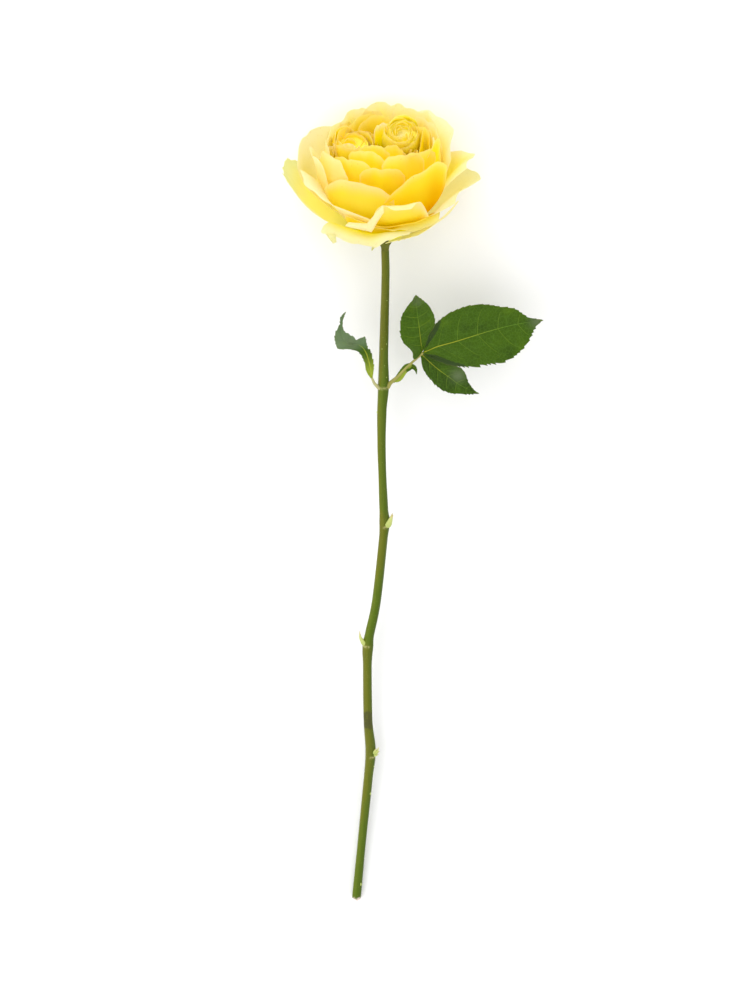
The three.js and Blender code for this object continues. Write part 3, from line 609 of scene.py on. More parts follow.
def make_stem(material):
    piece = Piece(STEM_VALUES)
    middle = catmull([(x, y) for x, y, _ in STEM], 420)
    path = np.column_stack([middle, np.zeros(len(middle))])
    y = middle[:, 1:]
    rings, turns = rings_along(path, stem_at(y[:, 0])[1], 44), around(44)
    outward = (rings - path[:, None]) / np.linalg.norm(rings - path[:, None], axis=-1, keepdims=True)
    facing = np.degrees(np.arctan2(outward[..., 2], outward[..., 0]))
    swell, scar = np.zeros(rings.shape[:2]), np.zeros(rings.shape[:2])
    for place, slant, side, spread in SCARS:
        off = rings[..., 1] - place - slant * (rings[..., 0] - middle[:, :1])
        near = smooth(spread, spread * 0.6, np.abs((facing - side + 180) % 360 - 180))
        swell += near * (0.16 * np.exp(-((off - 0.5) / 0.55) ** 2) - 0.14 * np.exp(-((off + 0.5) / 0.3) ** 2))
        scar = np.maximum(scar, near * np.exp(-((off + 0.15) / 0.5) ** 2))
    ribs = 0.035 * np.sin(turns * 7 + 0.03 * y) + 0.03 * np.sin(turns * 5 - 0.05 * y + 1)
    rings = rings + outward * (swell + ribs)[..., None]
    jagged = 0.28 * smooth(3 - STEM_LENGTH, -STEM_LENGTH, y)
    rings[..., 1] += jagged * (np.sin(turns * 3 + 0.6) + 0.5 * np.sin(turns * 8))
    height = rings[..., 1]
    bark = smooth(RING_FOOT - 0.6, RING_FOOT + 0.2, height + 0.3 * np.sin(turns * 2))
    bark = bark * smooth(RING_TOP + 0.7, RING_TOP - 0.3, height + 0.6 * np.sin(turns * 3))
    cut = smooth(1.1 - STEM_LENGTH, 0.3 - STEM_LENGTH, height + 0.25 * np.sin(turns * 5))
    add_bark(piece, rings, scar=scar, bark=bark, cut=cut)
    t = np.linspace(-1, 1, 9)
    for x, z, y, length in BUMPS:
        middle_x, radius = stem_at(y)
        center = np.array([middle_x, y, 0]) + np.array([x, 0, z]) / math.hypot(x, z) * (radius - 0.05)
        path = center + t[:, None] * np.array([0, length / 2, 0])
        size = min(0.42, 0.3 * length + 0.06) * np.sqrt(np.maximum(1 - t * t, 0.004))
        add_bark(piece, rings_along(path, size, 14), bump=1)
    piece.build("stem_bark", material, "stem")


# Each bud is a few pointed scales, as a path, radii along it and how brown its tip is
BUDS = {
    "bud_upper": [
        ([(1.3, -149.4, 1.6), (2.2, -147.6, 1.9), (3.3, -145.0, 1.6), (4.1, -142.6, 1.1)],
         [1.5, 1.75, 1.1, 0.12], 0.6),
        ([(2.3, -149.3, 0.4), (3.1, -147.2, 0.7), (3.9, -144.9, 0.8), (4.4, -143.5, 0.8)],
         [1.0, 1.2, 0.8, 0.1], 0.2)],
    "bud_middle": [
        ([(-9.3, -212.6, 1.2), (-10.8, -210.6, 1.7), (-12.1, -208.0, 1.6), (-12.4, -204.8, 1.3)],
         [1.0, 1.25, 0.95, 0.1], 0.3),
        ([(-9.0, -212.3, 0.3), (-10.6, -210.4, 0.6), (-11.8, -208.4, 0.8), (-12.0, -206.6, 0.9)],
         [0.9, 1.05, 0.8, 0.1], 0.1)],
    "bud_lower": [
        ([(-5.5, -271.6, 1.0), (-4.2, -270.4, 1.3), (-3.2, -268.9, 1.1), (-2.8, -267.6, 0.9)],
         [1.3, 1.35, 0.7, 0.1], 0.1),
        ([(-5.4, -271.9, 0.6), (-4.0, -271.2, 0.9), (-3.0, -270.3, 1.0), (-2.3, -269.6, 1.1)],
         [1.0, 0.9, 0.5, 0.1], 0.3),
        ([(-5.4, -272.2, 1.3), (-4.3, -271.9, 1.8), (-3.4, -271.5, 1.9), (-2.8, -271.0, 1.9)],
         [0.9, 0.8, 0.4, 0.1], 0.5),
        ([(-5.6, -270.8, 1.6), (-4.9, -269.6, 2.0), (-4.3, -268.5, 2.0), (-3.8, -267.9, 1.9)],
         [0.9, 0.9, 0.5, 0.1], 0.2)],
}
SCALE_FLATNESS = 0.7
SCALE_RINGS = 22


def make_buds(material):
    for node, scales in BUDS.items():
        piece = Piece("height brown")
        for path, radii, brown in scales:
            sizes = catmull([(r, 0) for r in radii], SCALE_RINGS)[:, 0]
            rings = rings_along(catmull(path, SCALE_RINGS), sizes, 18, SCALE_FLATNESS)
            piece.tube(rings, height=np.linspace(0, 1, SCALE_RINGS)[:, None], brown=brown)
        piece.build(node + "_scales", material, node)


# Sepals have the petals' form. The first, which reaches out at the right, is painted pale
# cream, painted light where light shines through it, and the last lies down along the stem.
SEPAL = dict(r0=2.5, z0=-2.6, base=88, tip=70, wide=12, curve=-16, claw=0.6, roll=0, tip_roll=0, drop=0.85,
             point=1.1, rag=0, wave=0.2, pale=0)
SEPALS = [petal(331, 41, 26.5, base=64, tip=33, wide=13, drop=0.6, pale=0.9), petal(34, 29, 4),
          petal(106, 22, 2), petal(178, 30, 3), petal(225, 8.5, -6.5, tip=165, wide=5)]

SEPAL_SEED = 81

# Side lobes fringe all but the last sepal: how far along, which side, how long
FRINGE = [(0.42, -1, 4.5), (0.5, 1, 3.5), (0.6, -1, 5.5), (0.68, 1, 4.5), (0.76, -1, 4.0), (0.84, 1, 3.0)]

# The hip's radii, from the stem up to the bloom
HIP_RADII = [STEM[0][2] - 0.15, STEM[0][2] + 0.05, STEM[0][2] + 0.4, 4, 4.9, 4.7]


def add_sepal(piece, given, seed, fringed):
    p = {**SEPAL, **given}
    rows, cols = 60, 22
    u, v = np.meshgrid(np.linspace(-1, 1, cols), np.linspace(0, 1, rows))
    grid = from_bloom(petal_surface(p, seed, u, v))
    grain = np.stack([u * 5, v * 30, np.full_like(u, seed * 5.1)], -1)
    piece.blade(grid, SEPAL_THICK * (1 - 0.5 * np.abs(u) ** 3), across=np.abs(u), height=v, pale=p["pale"],
                grain=grain)
    t = np.linspace(0, 1, 16)[:, None]
    for place, side, length in FRINGE if fringed else ():
        i = int(place * (rows - 1))
        root = grid[i, cols - 1 if side > 0 else 0]
        ahead = grid[i + 2, cols // 2] - grid[i - 2, cols // 2]
        ahead = ahead / np.linalg.norm(ahead)
        out = root - grid[i, cols // 2]
        out = out / np.linalg.norm(out)
        middle = root + (out * (t - 0.06) + ahead * t ** 1.6) * 0.75 * length
        wide = 0.9 * (1 - t ** 1.5) + 0.06
        lobe = middle[:, None] + np.linspace(-1, 1, 5)[:, None] * ahead * wide[:, None]
        piece.blade(lobe, FRINGE_THICK, across=0.9, height=1, pale=p["pale"], grain=lobe)


def make_calyx(material):
    x, y, _ = STEM[0]
    top = from_bloom(np.array([(0, 0, -2.4), (0, 0, HIP_TOP)]))
    path = catmull([(x, y - GAP, 0), (x, y + GAP, 0), (x, y + 2, 0), (0.2, -4.4, 0.4), *top], 34)
    sizes = evenly(HIP_RADII, len(path))
    piece = Piece("across height hip pale")
    piece.tube(rings_along(path, sizes, 36), hip=1)
    for i, sepal in enumerate(SEPALS):
        add_sepal(piece, sepal, SEPAL_SEED + i, i < len(SEPALS) - 1)
    piece.build("hip_and_sepals", material, "calyx")


# Leaves

LEAF_VALUES = "phase pitch share rib along under tone pale shaded sheen stalk"

# A leaflet follows its midrib, as x, y, z, and its two margins, as x, y, left first seen from
# its foot. fold lifts the margins, teeth counts the teeth of a margin, sizes gives their size on
# each and sweeps how far the side veins run ahead on their way to each, as a share of the midrib.
LEAFLETS = dict(
    terminal=dict(
        midrib=[(18.9, -58.1, 7.0), (22.7, -56.2, 8.1), (26.4, -54.4, 8.9), (34.8, -51.7, 10.1),
                (46.1, -48.0, 10.3), (54.5, -45.7, 9.3), (62.5, -44.1, 7.6), (70.1, -43.1, 5.7),
                (75.3, -42.6, 4.5), (78.0, -42.5, 4.0)],
        left=[(19.2, -57.8), (19.9, -54.7), (20.8, -51.0), (21.7, -48.4), (23.8, -44.8), (25.0, -42.4),
              (28.2, -39.2), (31.9, -36.7), (35.6, -35.0), (40.3, -33.4), (44.9, -32.6), (48.2, -32.5),
              (52.0, -32.9), (56.7, -34.0), (61.4, -34.8), (64.4, -35.8), (66.4, -37.4), (68.6, -39.1),
              (70.6, -40.5), (73.4, -41.4), (76.4, -42.0), (78.0, -42.5)],
        right=[(19.3, -58.5), (22.2, -59.9), (25.0, -61.2), (27.8, -62.3), (30.7, -63.2), (33.5, -63.8),
               (37.7, -64.1), (42.4, -64.1), (46.6, -63.5), (49.9, -63.0), (56.5, -62.0), (61.4, -60.5),
               (64.9, -58.3), (68.7, -55.1), (71.1, -51.8), (72.7, -48.8), (74.0, -46.3), (75.8, -43.8),
               (78.0, -42.5)],
        fold=0.12, teeth=22, sizes=(0.7, 1.5), sweeps=(0.26, 0.40), thick_vein=0.2),
    upper=dict(
        midrib=[(18.6, -57.6, 7.0), (18.0, -53.5, 8.1), (17.6, -50.3, 8.8), (17.2, -46.3, 9.3),
                (16.8, -43.1, 9.5), (16.1, -37.8, 9.2), (15.6, -33.4, 8.2), (15.3, -29.1, 6.8)],
        left=[(18.0, -58.4), (15.6, -60.6), (14.2, -60.4), (13.8, -57.4), (12.5, -55.4), (10.4, -53.3),
              (8.7, -51.2), (7.8, -48.1), (7.6, -43.5), (8.3, -39.1), (9.9, -35.9), (11.9, -33.3),
              (13.4, -31.6), (15.3, -29.1)],
        right=[(19.0, -56.9), (20.4, -54.1), (22.1, -50.5), (23.7, -46.3), (24.7, -42.4), (24.4, -38.7),
               (23.2, -35.9), (21.5, -33.4), (20.0, -32.0), (17.9, -30.5), (15.3, -29.1)],
        fold=0.2, teeth=13, sizes=(0.6, 0.4), sweeps=(0.32, 0.32), thick_vein=0.15),
    lower=dict(
        midrib=[(18.6, -59.3, 7.0), (22.5, -62.9, 7.8), (27.0, -66.7, 8.2), (32.3, -70.7, 7.9),
                (37.7, -75.0, 6.7), (43.0, -77.8, 5.5), (46.8, -79.6, 4.6)],
        left=[(19.2, -58.8), (24.0, -59.7), (28.5, -61.7), (33.0, -63.5), (37.3, -65.1), (39.5, -67.6),
              (40.7, -70.8), (41.7, -73.8), (43.6, -76.6), (45.2, -78.6), (46.8, -79.6)],
        right=[(17.9, -59.9), (18.6, -64.4), (20.3, -68.1), (23.7, -72.3), (26.3, -75.0), (29.3, -77.0),
               (32.4, -78.4), (36.2, -79.1), (40.0, -79.5), (43.8, -79.6), (46.8, -79.6)],
        fold=0.2, teeth=15, sizes=(0.35, 0.8), sweeps=(0.36, 0.30), thick_vein=0.14),
    hook=dict(
        midrib=[(11.0, -66.4, 4.8), (13.2, -65.7, 5.0), (14.9, -66.6, 4.8), (15.7, -68.2, 4.5),
                (15.9, -69.9, 4.2)],
        left=[(11.6, -65.2), (13.4, -64.3), (15.2, -65.2), (16.1, -67.2), (15.9, -69.9)],
        right=[(10.8, -68.4), (12.0, -68.0), (13.5, -67.0), (14.9, -67.8), (15.9, -69.9)],
        fold=0.3, teeth=4, sizes=(0.15, 0.15), sweeps=(0.26, 0.26), thick_vein=0.1),
    twisted=dict(
        midrib=[(-6.2, -72.0, 3.6), (-6.4, -69.8, 3.8), (-6.9, -67.1, 4.2), (-7.4, -64.3, 4.7),
                (-8.0, -61.9, 5.2), (-8.9, -58.8, 6.0), (-10.5, -55.9, 6.6), (-13.0, -54.1, 6.9),
                (-15.8, -53.7, 6.9), (-18.3, -53.1, 6.7), (-20.0, -51.4, 6.3), (-20.9, -49.2, 5.7),
                (-21.3, -46.1, 5.0), (-21.1, -43.4, 4.3), (-20.4, -40.8, 3.7), (-19.0, -38.5, 3.0)],
        left=[(-6.5, -72.2), (-7.8, -70.5), (-9.0, -68.1), (-9.5, -65.8), (-9.6, -64.0), (-10.5, -61.8),
              (-11.5, -59.5), (-12.7, -58.1), (-14.2, -57.0), (-16.4, -56.4), (-18.9, -56.1),
              (-21.1, -56.2), (-23.1, -55.8), (-23.9, -53.9), (-24.4, -52.1), (-24.6, -50.6),
              (-24.2, -48.7), (-23.5, -46.9), (-22.8, -45.6), (-22.1, -44.9), (-21.8, -44.0),
              (-21.8, -42.1), (-20.9, -40.0), (-19.0, -38.5)],
        right=[(-5.9, -71.7), (-5.5, -68.7), (-5.2, -65.5), (-5.7, -61.9), (-6.4, -58.6), (-7.2, -56.6),
               (-8.0, -56.1), (-8.6, -53.9), (-9.0, -52.0), (-9.4, -49.9), (-10.8, -50.1), (-12.2, -50.8),
               (-13.2, -51.6), (-13.9, -51.2), (-14.7, -50.3), (-16.1, -49.6), (-17.7, -48.7),
               (-19.2, -48.2), (-20.2, -46.7), (-20.6, -44.8), (-20.5, -42.5), (-19.9, -40.6),
               (-19.0, -38.5)],
        fold=0.15, teeth=18, sizes=(0.9, 1.0), sweeps=(0.26, 0.26), thick_vein=0.3),
)
VEIN_PITCH = 0.165          # from one side vein's foot to the next, as a share of the midrib
ROWS_PER_TOOTH = 8
SHADE_REACH = 0.35          # of a leaflet's shade past its margins, as a share of its half width

# Painted highlights, where the leaves are painted a paler grey green as if they caught the light, as x, y,
# reach and strength
PAINTED_SHEEN = [(36.3, -69.3, 3.6, 0.85), (15.8, -31.8, 2.6, 0.6), (75.0, -42.4, 3.6, 0.85),
         (-16.5, -53.0, 2.8, 0.7), (12.0, -57.0, 3.0, 0.2)]

# The leaf's stalk, its wings and the small leaf's stalk, as x, y and z
PETIOLE = [(1.6, -77.4, 0.9), (2.2, -76.1, 1.2), (3.0, -74.9, 1.8), (4.5, -73.3, 2.6), (6.7, -71.1, 3.4),
           (9.4, -67.8, 4.4), (12.7, -64.3, 5.5), (16.5, -60.5, 6.6), (18.9, -58.1, 7.1)]
PETIOLE_RADII = [1.25, 1.0, 0.8, 0.72, 0.66, 0.6, 0.58, 0.6, 0.75]
WING_LEFT = [(3.4, -74.3, 2.3), (4.6, -72.4, 2.9), (6.0, -70.4, 3.5), (7.5, -67.9, 4.2), (9.4, -65.3, 4.8),
             (10.9, -64.2, 5.2), (12.4, -64.4, 5.5)]
WING_RIGHT = [(3.4, -74.8, 2.0), (5.2, -74.4, 2.6), (7.5, -73.8, 3.2), (9.2, -72.0, 3.8), (10.4, -69.9, 4.2),
              (11.6, -68.3, 4.6), (12.6, -66.8, 5.0)]
SMALL_STALK = [(-2.2, -78.0, 0.8), (-2.8, -77.5, 1.2), (-3.7, -76.5, 1.8), (-4.8, -75.1, 2.5),
               (-5.6, -73.4, 3.1), (-6.2, -71.8, 3.6)]
SMALL_STALK_RADII = [1.1, 0.95, 0.8, 0.7, 0.6, 0.5]


def margin_teeth(count, rows, size, chance):
    """Forward pointing teeth along a margin: how far out and how far ahead at each row."""
    s = np.linspace(0, 1, rows)
    warp = s + sum(chance.uniform(-0.5, 0.5) / count * np.sin(2 * math.pi * k * s + chance.uniform(0, 6))
                   for k in (2, 3, 5))
    phase = (warp * count) % 1
    size = size * (0.75 + 0.25 * np.sin(11 * s + chance.uniform(0, 6)))
    size = size * (0.4 + 0.6 * smooth(0.1, 0.5, s)) * smooth(0.02, 0.12, s) * smooth(1, 0.94, s)
    return size * (phase ** 1.4 - 0.45), size * phase * 0.6


def half_leaflet(shape, side, middle, across, wave, chance):
    """A leaflet from its midrib to the margin at side: its points, the side veins' phase, how
    many millimetres out they lie and how far as a share."""
    rows = len(middle)
    margin = catmull(shape["left" if side < 0 else "right"], rows)
    reach = np.linalg.norm(margin - middle[:, :2], axis=1)[:, None]
    rim = np.column_stack([margin, middle[:, 2] + shape["fold"] * reach[:, 0]])
    out = (rim - middle) / np.maximum(reach, 0.3)
    ahead = np.gradient(rim, axis=0)
    ahead /= np.maximum(np.linalg.norm(ahead, axis=1, keepdims=True), 1e-6)
    tooth, forward = margin_teeth(shape["teeth"], rows, shape["sizes"][side > 0], chance)
    teeth = out * tooth[:, None] + ahead * forward[:, None]
    share = np.broadcast_to(np.linspace(0, 1, across) ** 0.9, (rows, across))
    grid = middle[:, None] + share[..., None] * (rim - middle)[:, None]
    grid = grid + smooth(0.8, 1, share)[..., None] * teeth[:, None]
    s = np.linspace(0, 1, rows)[:, None]
    swept = shape["sweeps"][side > 0] * (0.6 * share + 0.4 * share ** 4)
    phase = (s - swept) / (1 - swept) / VEIN_PITCH + 0.2
    quilt = 0.022 * midrib_length(middle) ** 0.6 * np.cos(2 * math.pi * phase) * share * (1 - share) * 4
    groove = 0.3 * np.exp(-((share * reach / 0.9) ** 2))
    sway = np.sin(9 * s + wave[0] + side) + 0.6 * np.sin(17 * s + wave[1] * side)
    grid[..., 2] += 0.035 * reach * share ** 2 * sway - quilt - groove
    return grid, phase, share * reach, share


def midrib_length(middle):
    return np.linalg.norm(np.diff(middle, axis=0), axis=1).sum()


def add_leaflet(piece, name, seed, tone=0.0, pale=0.0, greyed_span=None, over=(), across=21):
    """greyed_span is where the leaflet turns a greyer green, as shares of the midrib, and over
    names the leaflets that shade this one."""
    shape = LEAFLETS[name]
    chance = np.random.default_rng(seed)
    middle = catmull(shape["midrib"], shape["teeth"] * ROWS_PER_TOOTH + 1)
    wave = chance.uniform(0, 6, 4)
    left = half_leaflet(shape, -1, middle, across, wave, chance)
    right = half_leaflet(shape, 1, middle, across, wave, chance)
    grid, phase, off, share = (np.concatenate([a[:, ::-1], b[:, 1:]], 1) for a, b in zip(left, right))
    place = np.linspace(0, 1, len(middle))[:, None]
    rib = off / (shape["thick_vein"] * (1.15 - 0.85 * place))
    under = smooth(*greyed_span, place + 0.05 * share) if greyed_span else 0
    shaded = np.zeros(share.shape)
    for other in over:
        shaded = np.maximum(shaded, inside(grid, outline(LEAFLETS[other])))
    sheen = sum(strength * np.exp(-((grid[..., 0] - x) ** 2 + (grid[..., 1] - y) ** 2) / reach ** 2)
                for x, y, reach, strength in PAINTED_SHEEN)
    piece.blade(grid, LEAF_THICK, phase=phase, pitch=VEIN_PITCH * midrib_length(middle), share=share, rib=rib,
                along=place, under=under, tone=tone, pale=pale * smooth(0.36, 0.02, place), shaded=shaded,
                sheen=sheen, grain=grid + (0, 0, seed * 9.0))


def outline(shape):
    """A leaflet's outline seen from the eye, some way outside its margins."""
    axis = catmull(shape["midrib"], 80)[:, :2]
    left, right = (catmull(shape[side], 80) for side in ("left", "right"))
    return np.concatenate([left + SHADE_REACH * (left - axis), (right + SHADE_REACH * (right - axis))[::-1]])


def inside(points, corners):
    """1 where points lie within a closed outline seen from the eye, else 0."""
    hits = np.zeros(points.shape[:2])
    for (ax, ay), (bx, by) in zip(corners, np.roll(corners, -1, 0)):
        if ay == by:
            continue
        crosses = (ay > points[..., 1]) != (by > points[..., 1])
        hits += crosses & (points[..., 0] < ax + (points[..., 1] - ay) * (bx - ax) / (by - ay))
    return hits % 2


def add_stalk(piece, path, radii, pale):
    rings = rings_along(catmull(path, 40), evenly(radii, 40), 16)
    piece.tube(rings, phase=0.5, pitch=5, share=1, rib=0.2, pale=pale, stalk=1)


def add_wing(piece, inner, outer, teeth, seed, pale):
    """A winged margin of the stalk, between the stalk and its own outer edge."""
    rows = teeth * ROWS_PER_TOOTH + 1
    a, b = catmull(inner, rows), catmull(outer, rows)
    tooth, _ = margin_teeth(teeth, rows, 0.3, np.random.default_rng(seed))
    out = b - a
    out = out / np.maximum(np.linalg.norm(out, axis=1, keepdims=True), 0.2)
    b = b + out * tooth[:, None]
    share = np.linspace(0, 1, 8)
    grid = a[:, None] + share[:, None] * (b - a)[:, None]
    piece.blade(grid, LEAF_THICK, phase=0.5, pitch=3, share=share, rib=9, along=0.5, pale=pale, grain=grid)


def make_leaves(material):
    piece = Piece(LEAF_VALUES)
    add_stalk(piece, PETIOLE, PETIOLE_RADII, 0.0)
    stalk = catmull(PETIOLE, 60)
    add_wing(piece, stalk[10:46], WING_LEFT, 4, 31, 0.1)
    add_wing(piece, stalk[46:10:-1], WING_RIGHT[::-1], 9, 32, 0.75)
    add_leaflet(piece, "terminal", 35, over=("upper", "lower"))
    add_leaflet(piece, "upper", 36, tone=0.25)
    add_leaflet(piece, "lower", 37, tone=-0.5)
    add_leaflet(piece, "hook", 38, tone=-0.3, across=9)
    piece.build("leaf_blades", material, "leaf")
    piece = Piece(LEAF_VALUES)
    add_stalk(piece, SMALL_STALK, SMALL_STALK_RADII, 1.0)
    add_leaflet(piece, "twisted", 39, pale=1.0, across=15, greyed_span=(0.36, 0.52))
    piece.build("small_leaf_blade", material, "small_leaf")


# Materials


class Shader:
    """Short ways to make the nodes of one material, whose colour is painted coat by coat."""

    def __init__(self, name):
        self.material = bpy.data.materials.new(name)
        self.material.use_nodes = True
        self.tree = self.material.node_tree
        self.main = self.tree.nodes["Principled BSDF"]

    def put(self, node, key, value):
        if isinstance(value, bpy.types.NodeSocket):
            self.tree.links.new(value, node.inputs[key])
        elif isinstance(value, tuple) and node.inputs[key].type == "RGBA":
            node.inputs[key].default_value = (*value, 1)
        else:
            node.inputs[key].default_value = value

    def node(self, kind, inputs, **options):
        node = self.tree.nodes.new(kind)
        for key, value in options.items():
            setattr(node, key, value)
        for key, value in inputs.items():
            self.put(node, key, value)
        return node

    def value(self, name, output="Fac"):
        return self.node("ShaderNodeAttribute", {}, attribute_name=name).outputs[output]

    def math(self, operation, a, b=0.0, c=0.0):
        return self.node("ShaderNodeMath", {0: a, 1: b, 2: c}, operation=operation).outputs[0]

    def times(self, first, *others):
        for other in others:
            first = self.math("MULTIPLY", first, other)
        return first

    def plus(self, a, b):
        return self.math("ADD", a, b)

    def about_zero(self, x, share):
        """A value round 0.5 made one round 0, and scaled."""
        return self.times(self.math("SUBTRACT", x, 0.5), share)

    def noise(self, scale, detail=3.0, rough=0.5, stretch=None, vector=None):
        if vector is None:
            vector = self.value("grain", "Vector")
        if stretch:
            node = self.node("ShaderNodeVectorMath", {0: vector, 1: stretch}, operation="MULTIPLY")
            vector = node.outputs[0]
        inputs = {"Vector": vector, "Scale": scale, "Detail": detail, "Roughness": rough}
        return self.node("ShaderNodeTexNoise", inputs).outputs["Fac"]

    def step(self, x, low, high):
        node = self.node("ShaderNodeMapRange", {0: x, 1: low, 2: high}, interpolation_type="SMOOTHSTEP")
        return node.outputs[0]

    def mix(self, factor, a, b):
        return self.node("ShaderNodeMix", {0: factor, 6: a, 7: b}, data_type="RGBA").outputs[2]

    def ground(self, factor, *stops):
        """The first coat, a soft run of colours."""
        node = self.node("ShaderNodeValToRGB", {"Fac": factor})
        node.color_ramp.interpolation = "EASE"
        elements = node.color_ramp.elements
        while len(elements) < len(stops):
            elements.new(0.5)
        for element, (place, color) in zip(elements, stops):
            element.position = place
            element.color = (*color, 1)
        self.color = node.outputs["Color"]

    def coat(self, color, *amounts):
        """One more coat, as thick as the product of the amounts."""
        self.color = self.mix(self.times(*amounts), self.color, color)

    def bump(self, height, distance, strength):
        node = self.node("ShaderNodeBump", {"Height": height, "Distance": distance, "Strength": strength})
        self.put(self.main, "Normal", node.outputs["Normal"])

    def let_through(self, color, share):
        """A share of the light passes through the thin sheet."""
        through = self.node("ShaderNodeBsdfTranslucent", {"Color": color})
        mixed = self.node("ShaderNodeMixShader", {0: share, 1: self.main.outputs[0], 2: through.outputs[0]})
        self.put(self.tree.nodes["Material Output"], "Surface", mixed.outputs[0])

    def finish(self, roughness, specular=0.5):
        self.put(self.main, "Base Color", self.color)
        self.put(self.main, "Roughness", roughness)
        self.put(self.main, "Specular IOR Level", specular)
        return self.material


def petal_material():
    cream, lemon, bleached, painted_shade_gold = (1.0, 0.94, 0.68), (1.0, 0.97, 0.22), (0.99, 0.94, 0.71), (0.95, 0.67, 0.0)
    s = Shader("petal")
    place = s.plus(s.about_zero(s.noise(0.09, 2.0), 0.25), s.value("rim"))
    place = s.plus(s.times(s.value("tone"), 0.05), place)
    s.ground(place, (0.0, (1.0, 0.985, 0.0)), (0.25, (1.0, 0.985, 0.0)), (0.55, (1.0, 0.965, 0.001)),
             (0.80, (1.0, 0.92, 0.05)), (1.0, (1.0, 0.89, 0.11)))
    wash = s.value("wash")
    s.coat(cream, wash, s.math("MAXIMUM", s.step(place, 0.30, 0.70), s.step(wash, 0.50, 0.60)))
    s.coat(lemon, s.value("heart"))
    s.coat(bleached, s.value("bleach"))
    # Painted shade: deep gold where a petal lies in shadow
    s.coat(painted_shade_gold, s.value("deep"))
    greenish, green_foot = (0.84, 0.86, 0.50), (0.88, 0.87, 0.36)
    s.coat(greenish, s.value("green"), s.step(place, 0.55, 1.0), 0.8)
    s.coat(green_foot, s.value("base"), s.step(s.value("face"), -0.3, 0.3), 0.85)
    veins = s.noise(1.7, 4.0, 0.6, stretch=(1.0, 0.06, 1.0))
    s.coat((1.0, 0.80, 0.02), s.step(veins, 0.52, 0.75), 0.10)
    brown_flecks = s.step(s.noise(1.3, 1.0), 0.70, 0.78)
    s.coat((0.50, 0.33, 0.06), brown_flecks, s.step(s.value("margin"), 0.5, 1.0), 0.35)
    s.let_through(s.color, s.math("MULTIPLY_ADD", s.value("solid"), -0.6, 0.66))
    s.bump(veins, 0.00025, 0.35)
    return s.finish(0.52, 0.04)


def stem_material():
    s = Shader("stem")
    streaks = s.noise(1.6, 4.0, 0.65, stretch=(1.0, 0.05, 1.0))
    mottle = s.noise(0.35, stretch=(1.0, 0.5, 1.0))
    fresh = s.plus(s.value("fresh"), s.about_zero(mottle, 0.5))
    # Painted shade: lit shifts the colours to a darker green towards the right side, away from the light
    fresh = s.plus(fresh, s.times(s.value("lit"), 0.35))
    s.ground(fresh, (0.0, (0.152, 0.158, 0.013)), (0.35, (0.146, 0.162, 0.008)),
             (0.65, (0.116, 0.164, 0.008)), (1.0, (0.093, 0.156, 0.003)))
    dark_streak, pale_streak = (0.060, 0.080, 0.010), (0.23, 0.25, 0.05)
    s.coat(dark_streak, s.step(streaks, 0.50, 0.72), 0.45)
    s.coat(pale_streak, s.step(streaks, 0.42, 0.25), 0.2)
    shade, pale_speck, dark_ring = (0.040, 0.065, 0.004), (0.40, 0.42, 0.16), (0.065, 0.065, 0.018)
    # Painted shade, darker at the right side of the stem
    s.coat(shade, s.step(s.value("lit"), -1.0, 1.0), 0.55)
    s.coat(pale_speck, s.step(s.noise(2.6, 1.0), 0.70, 0.76), 0.45)
    s.coat(dark_ring, s.value("bark"), s.step(s.noise(0.7), 0.15, 0.55), 0.85)
    pale_scar, brown_spot = (0.52, 0.50, 0.20), (0.30, 0.17, 0.05)
    s.coat(pale_scar, s.value("scar"), s.step(s.noise(1.1), 0.30, 0.60), 0.8)
    s.coat(brown_spot, s.value("scar"), s.step(s.noise(1.9, 2.0), 0.56, 0.66), 0.7)
    pale_bump, wood = (0.42, 0.50, 0.14), (0.72, 0.60, 0.52)
    s.coat(pale_bump, s.value("bump"))
    s.coat(wood, s.value("cut"))
    s.bump(streaks, 0.00012, 0.4)
    return s.finish(0.42, 0.14)


def bud_material():
    s = Shader("bud")
    place = s.plus(s.value("height"), s.about_zero(s.noise(0.8), 0.5))
    s.ground(place, (0.0, (0.42, 0.50, 0.12)), (0.5, (0.50, 0.56, 0.16)), (0.85, (0.62, 0.62, 0.24)),
             (1.0, (0.70, 0.66, 0.34)))
    brown_tip = (0.42, 0.20, 0.05)
    s.coat(brown_tip, s.step(place, 0.62, 0.95), s.value("brown"))
    s.bump(s.noise(3.0, stretch=(1, 0.2, 1)), 0.0001, 0.4)
    return s.finish(0.5)


def calyx_material():
    s = Shader("calyx")
    cloud = s.noise(0.45, 4.0, 0.6)
    s.ground(cloud, (0.25, (0.50, 0.52, 0.06)), (0.5, (0.62, 0.62, 0.10)), (0.75, (0.72, 0.70, 0.20)))
    felt, painted_light_cream = (0.93, 0.90, 0.60), (1.0, 0.95, 0.58)
    downy = s.plus(s.times(s.step(s.value("across"), 0.35, 0.95), 0.5), s.times(s.value("height"), 0.8))
    s.coat(felt, downy, s.step(s.noise(0.8), 0.30, 0.60))
    # Painted light: the first sepal is painted pale cream where light shines through it
    s.coat(painted_light_cream, s.value("pale"))
    s.coat(s.mix(cloud, (0.09, 0.10, 0.010), (0.15, 0.16, 0.02)), s.value("hip"))
    s.let_through(s.color, s.math("MULTIPLY_ADD", s.value("hip"), -0.45, 0.45))
    s.bump(s.noise(2.4), 0.0002, 0.4)
    return s.finish(0.75, 0.2)


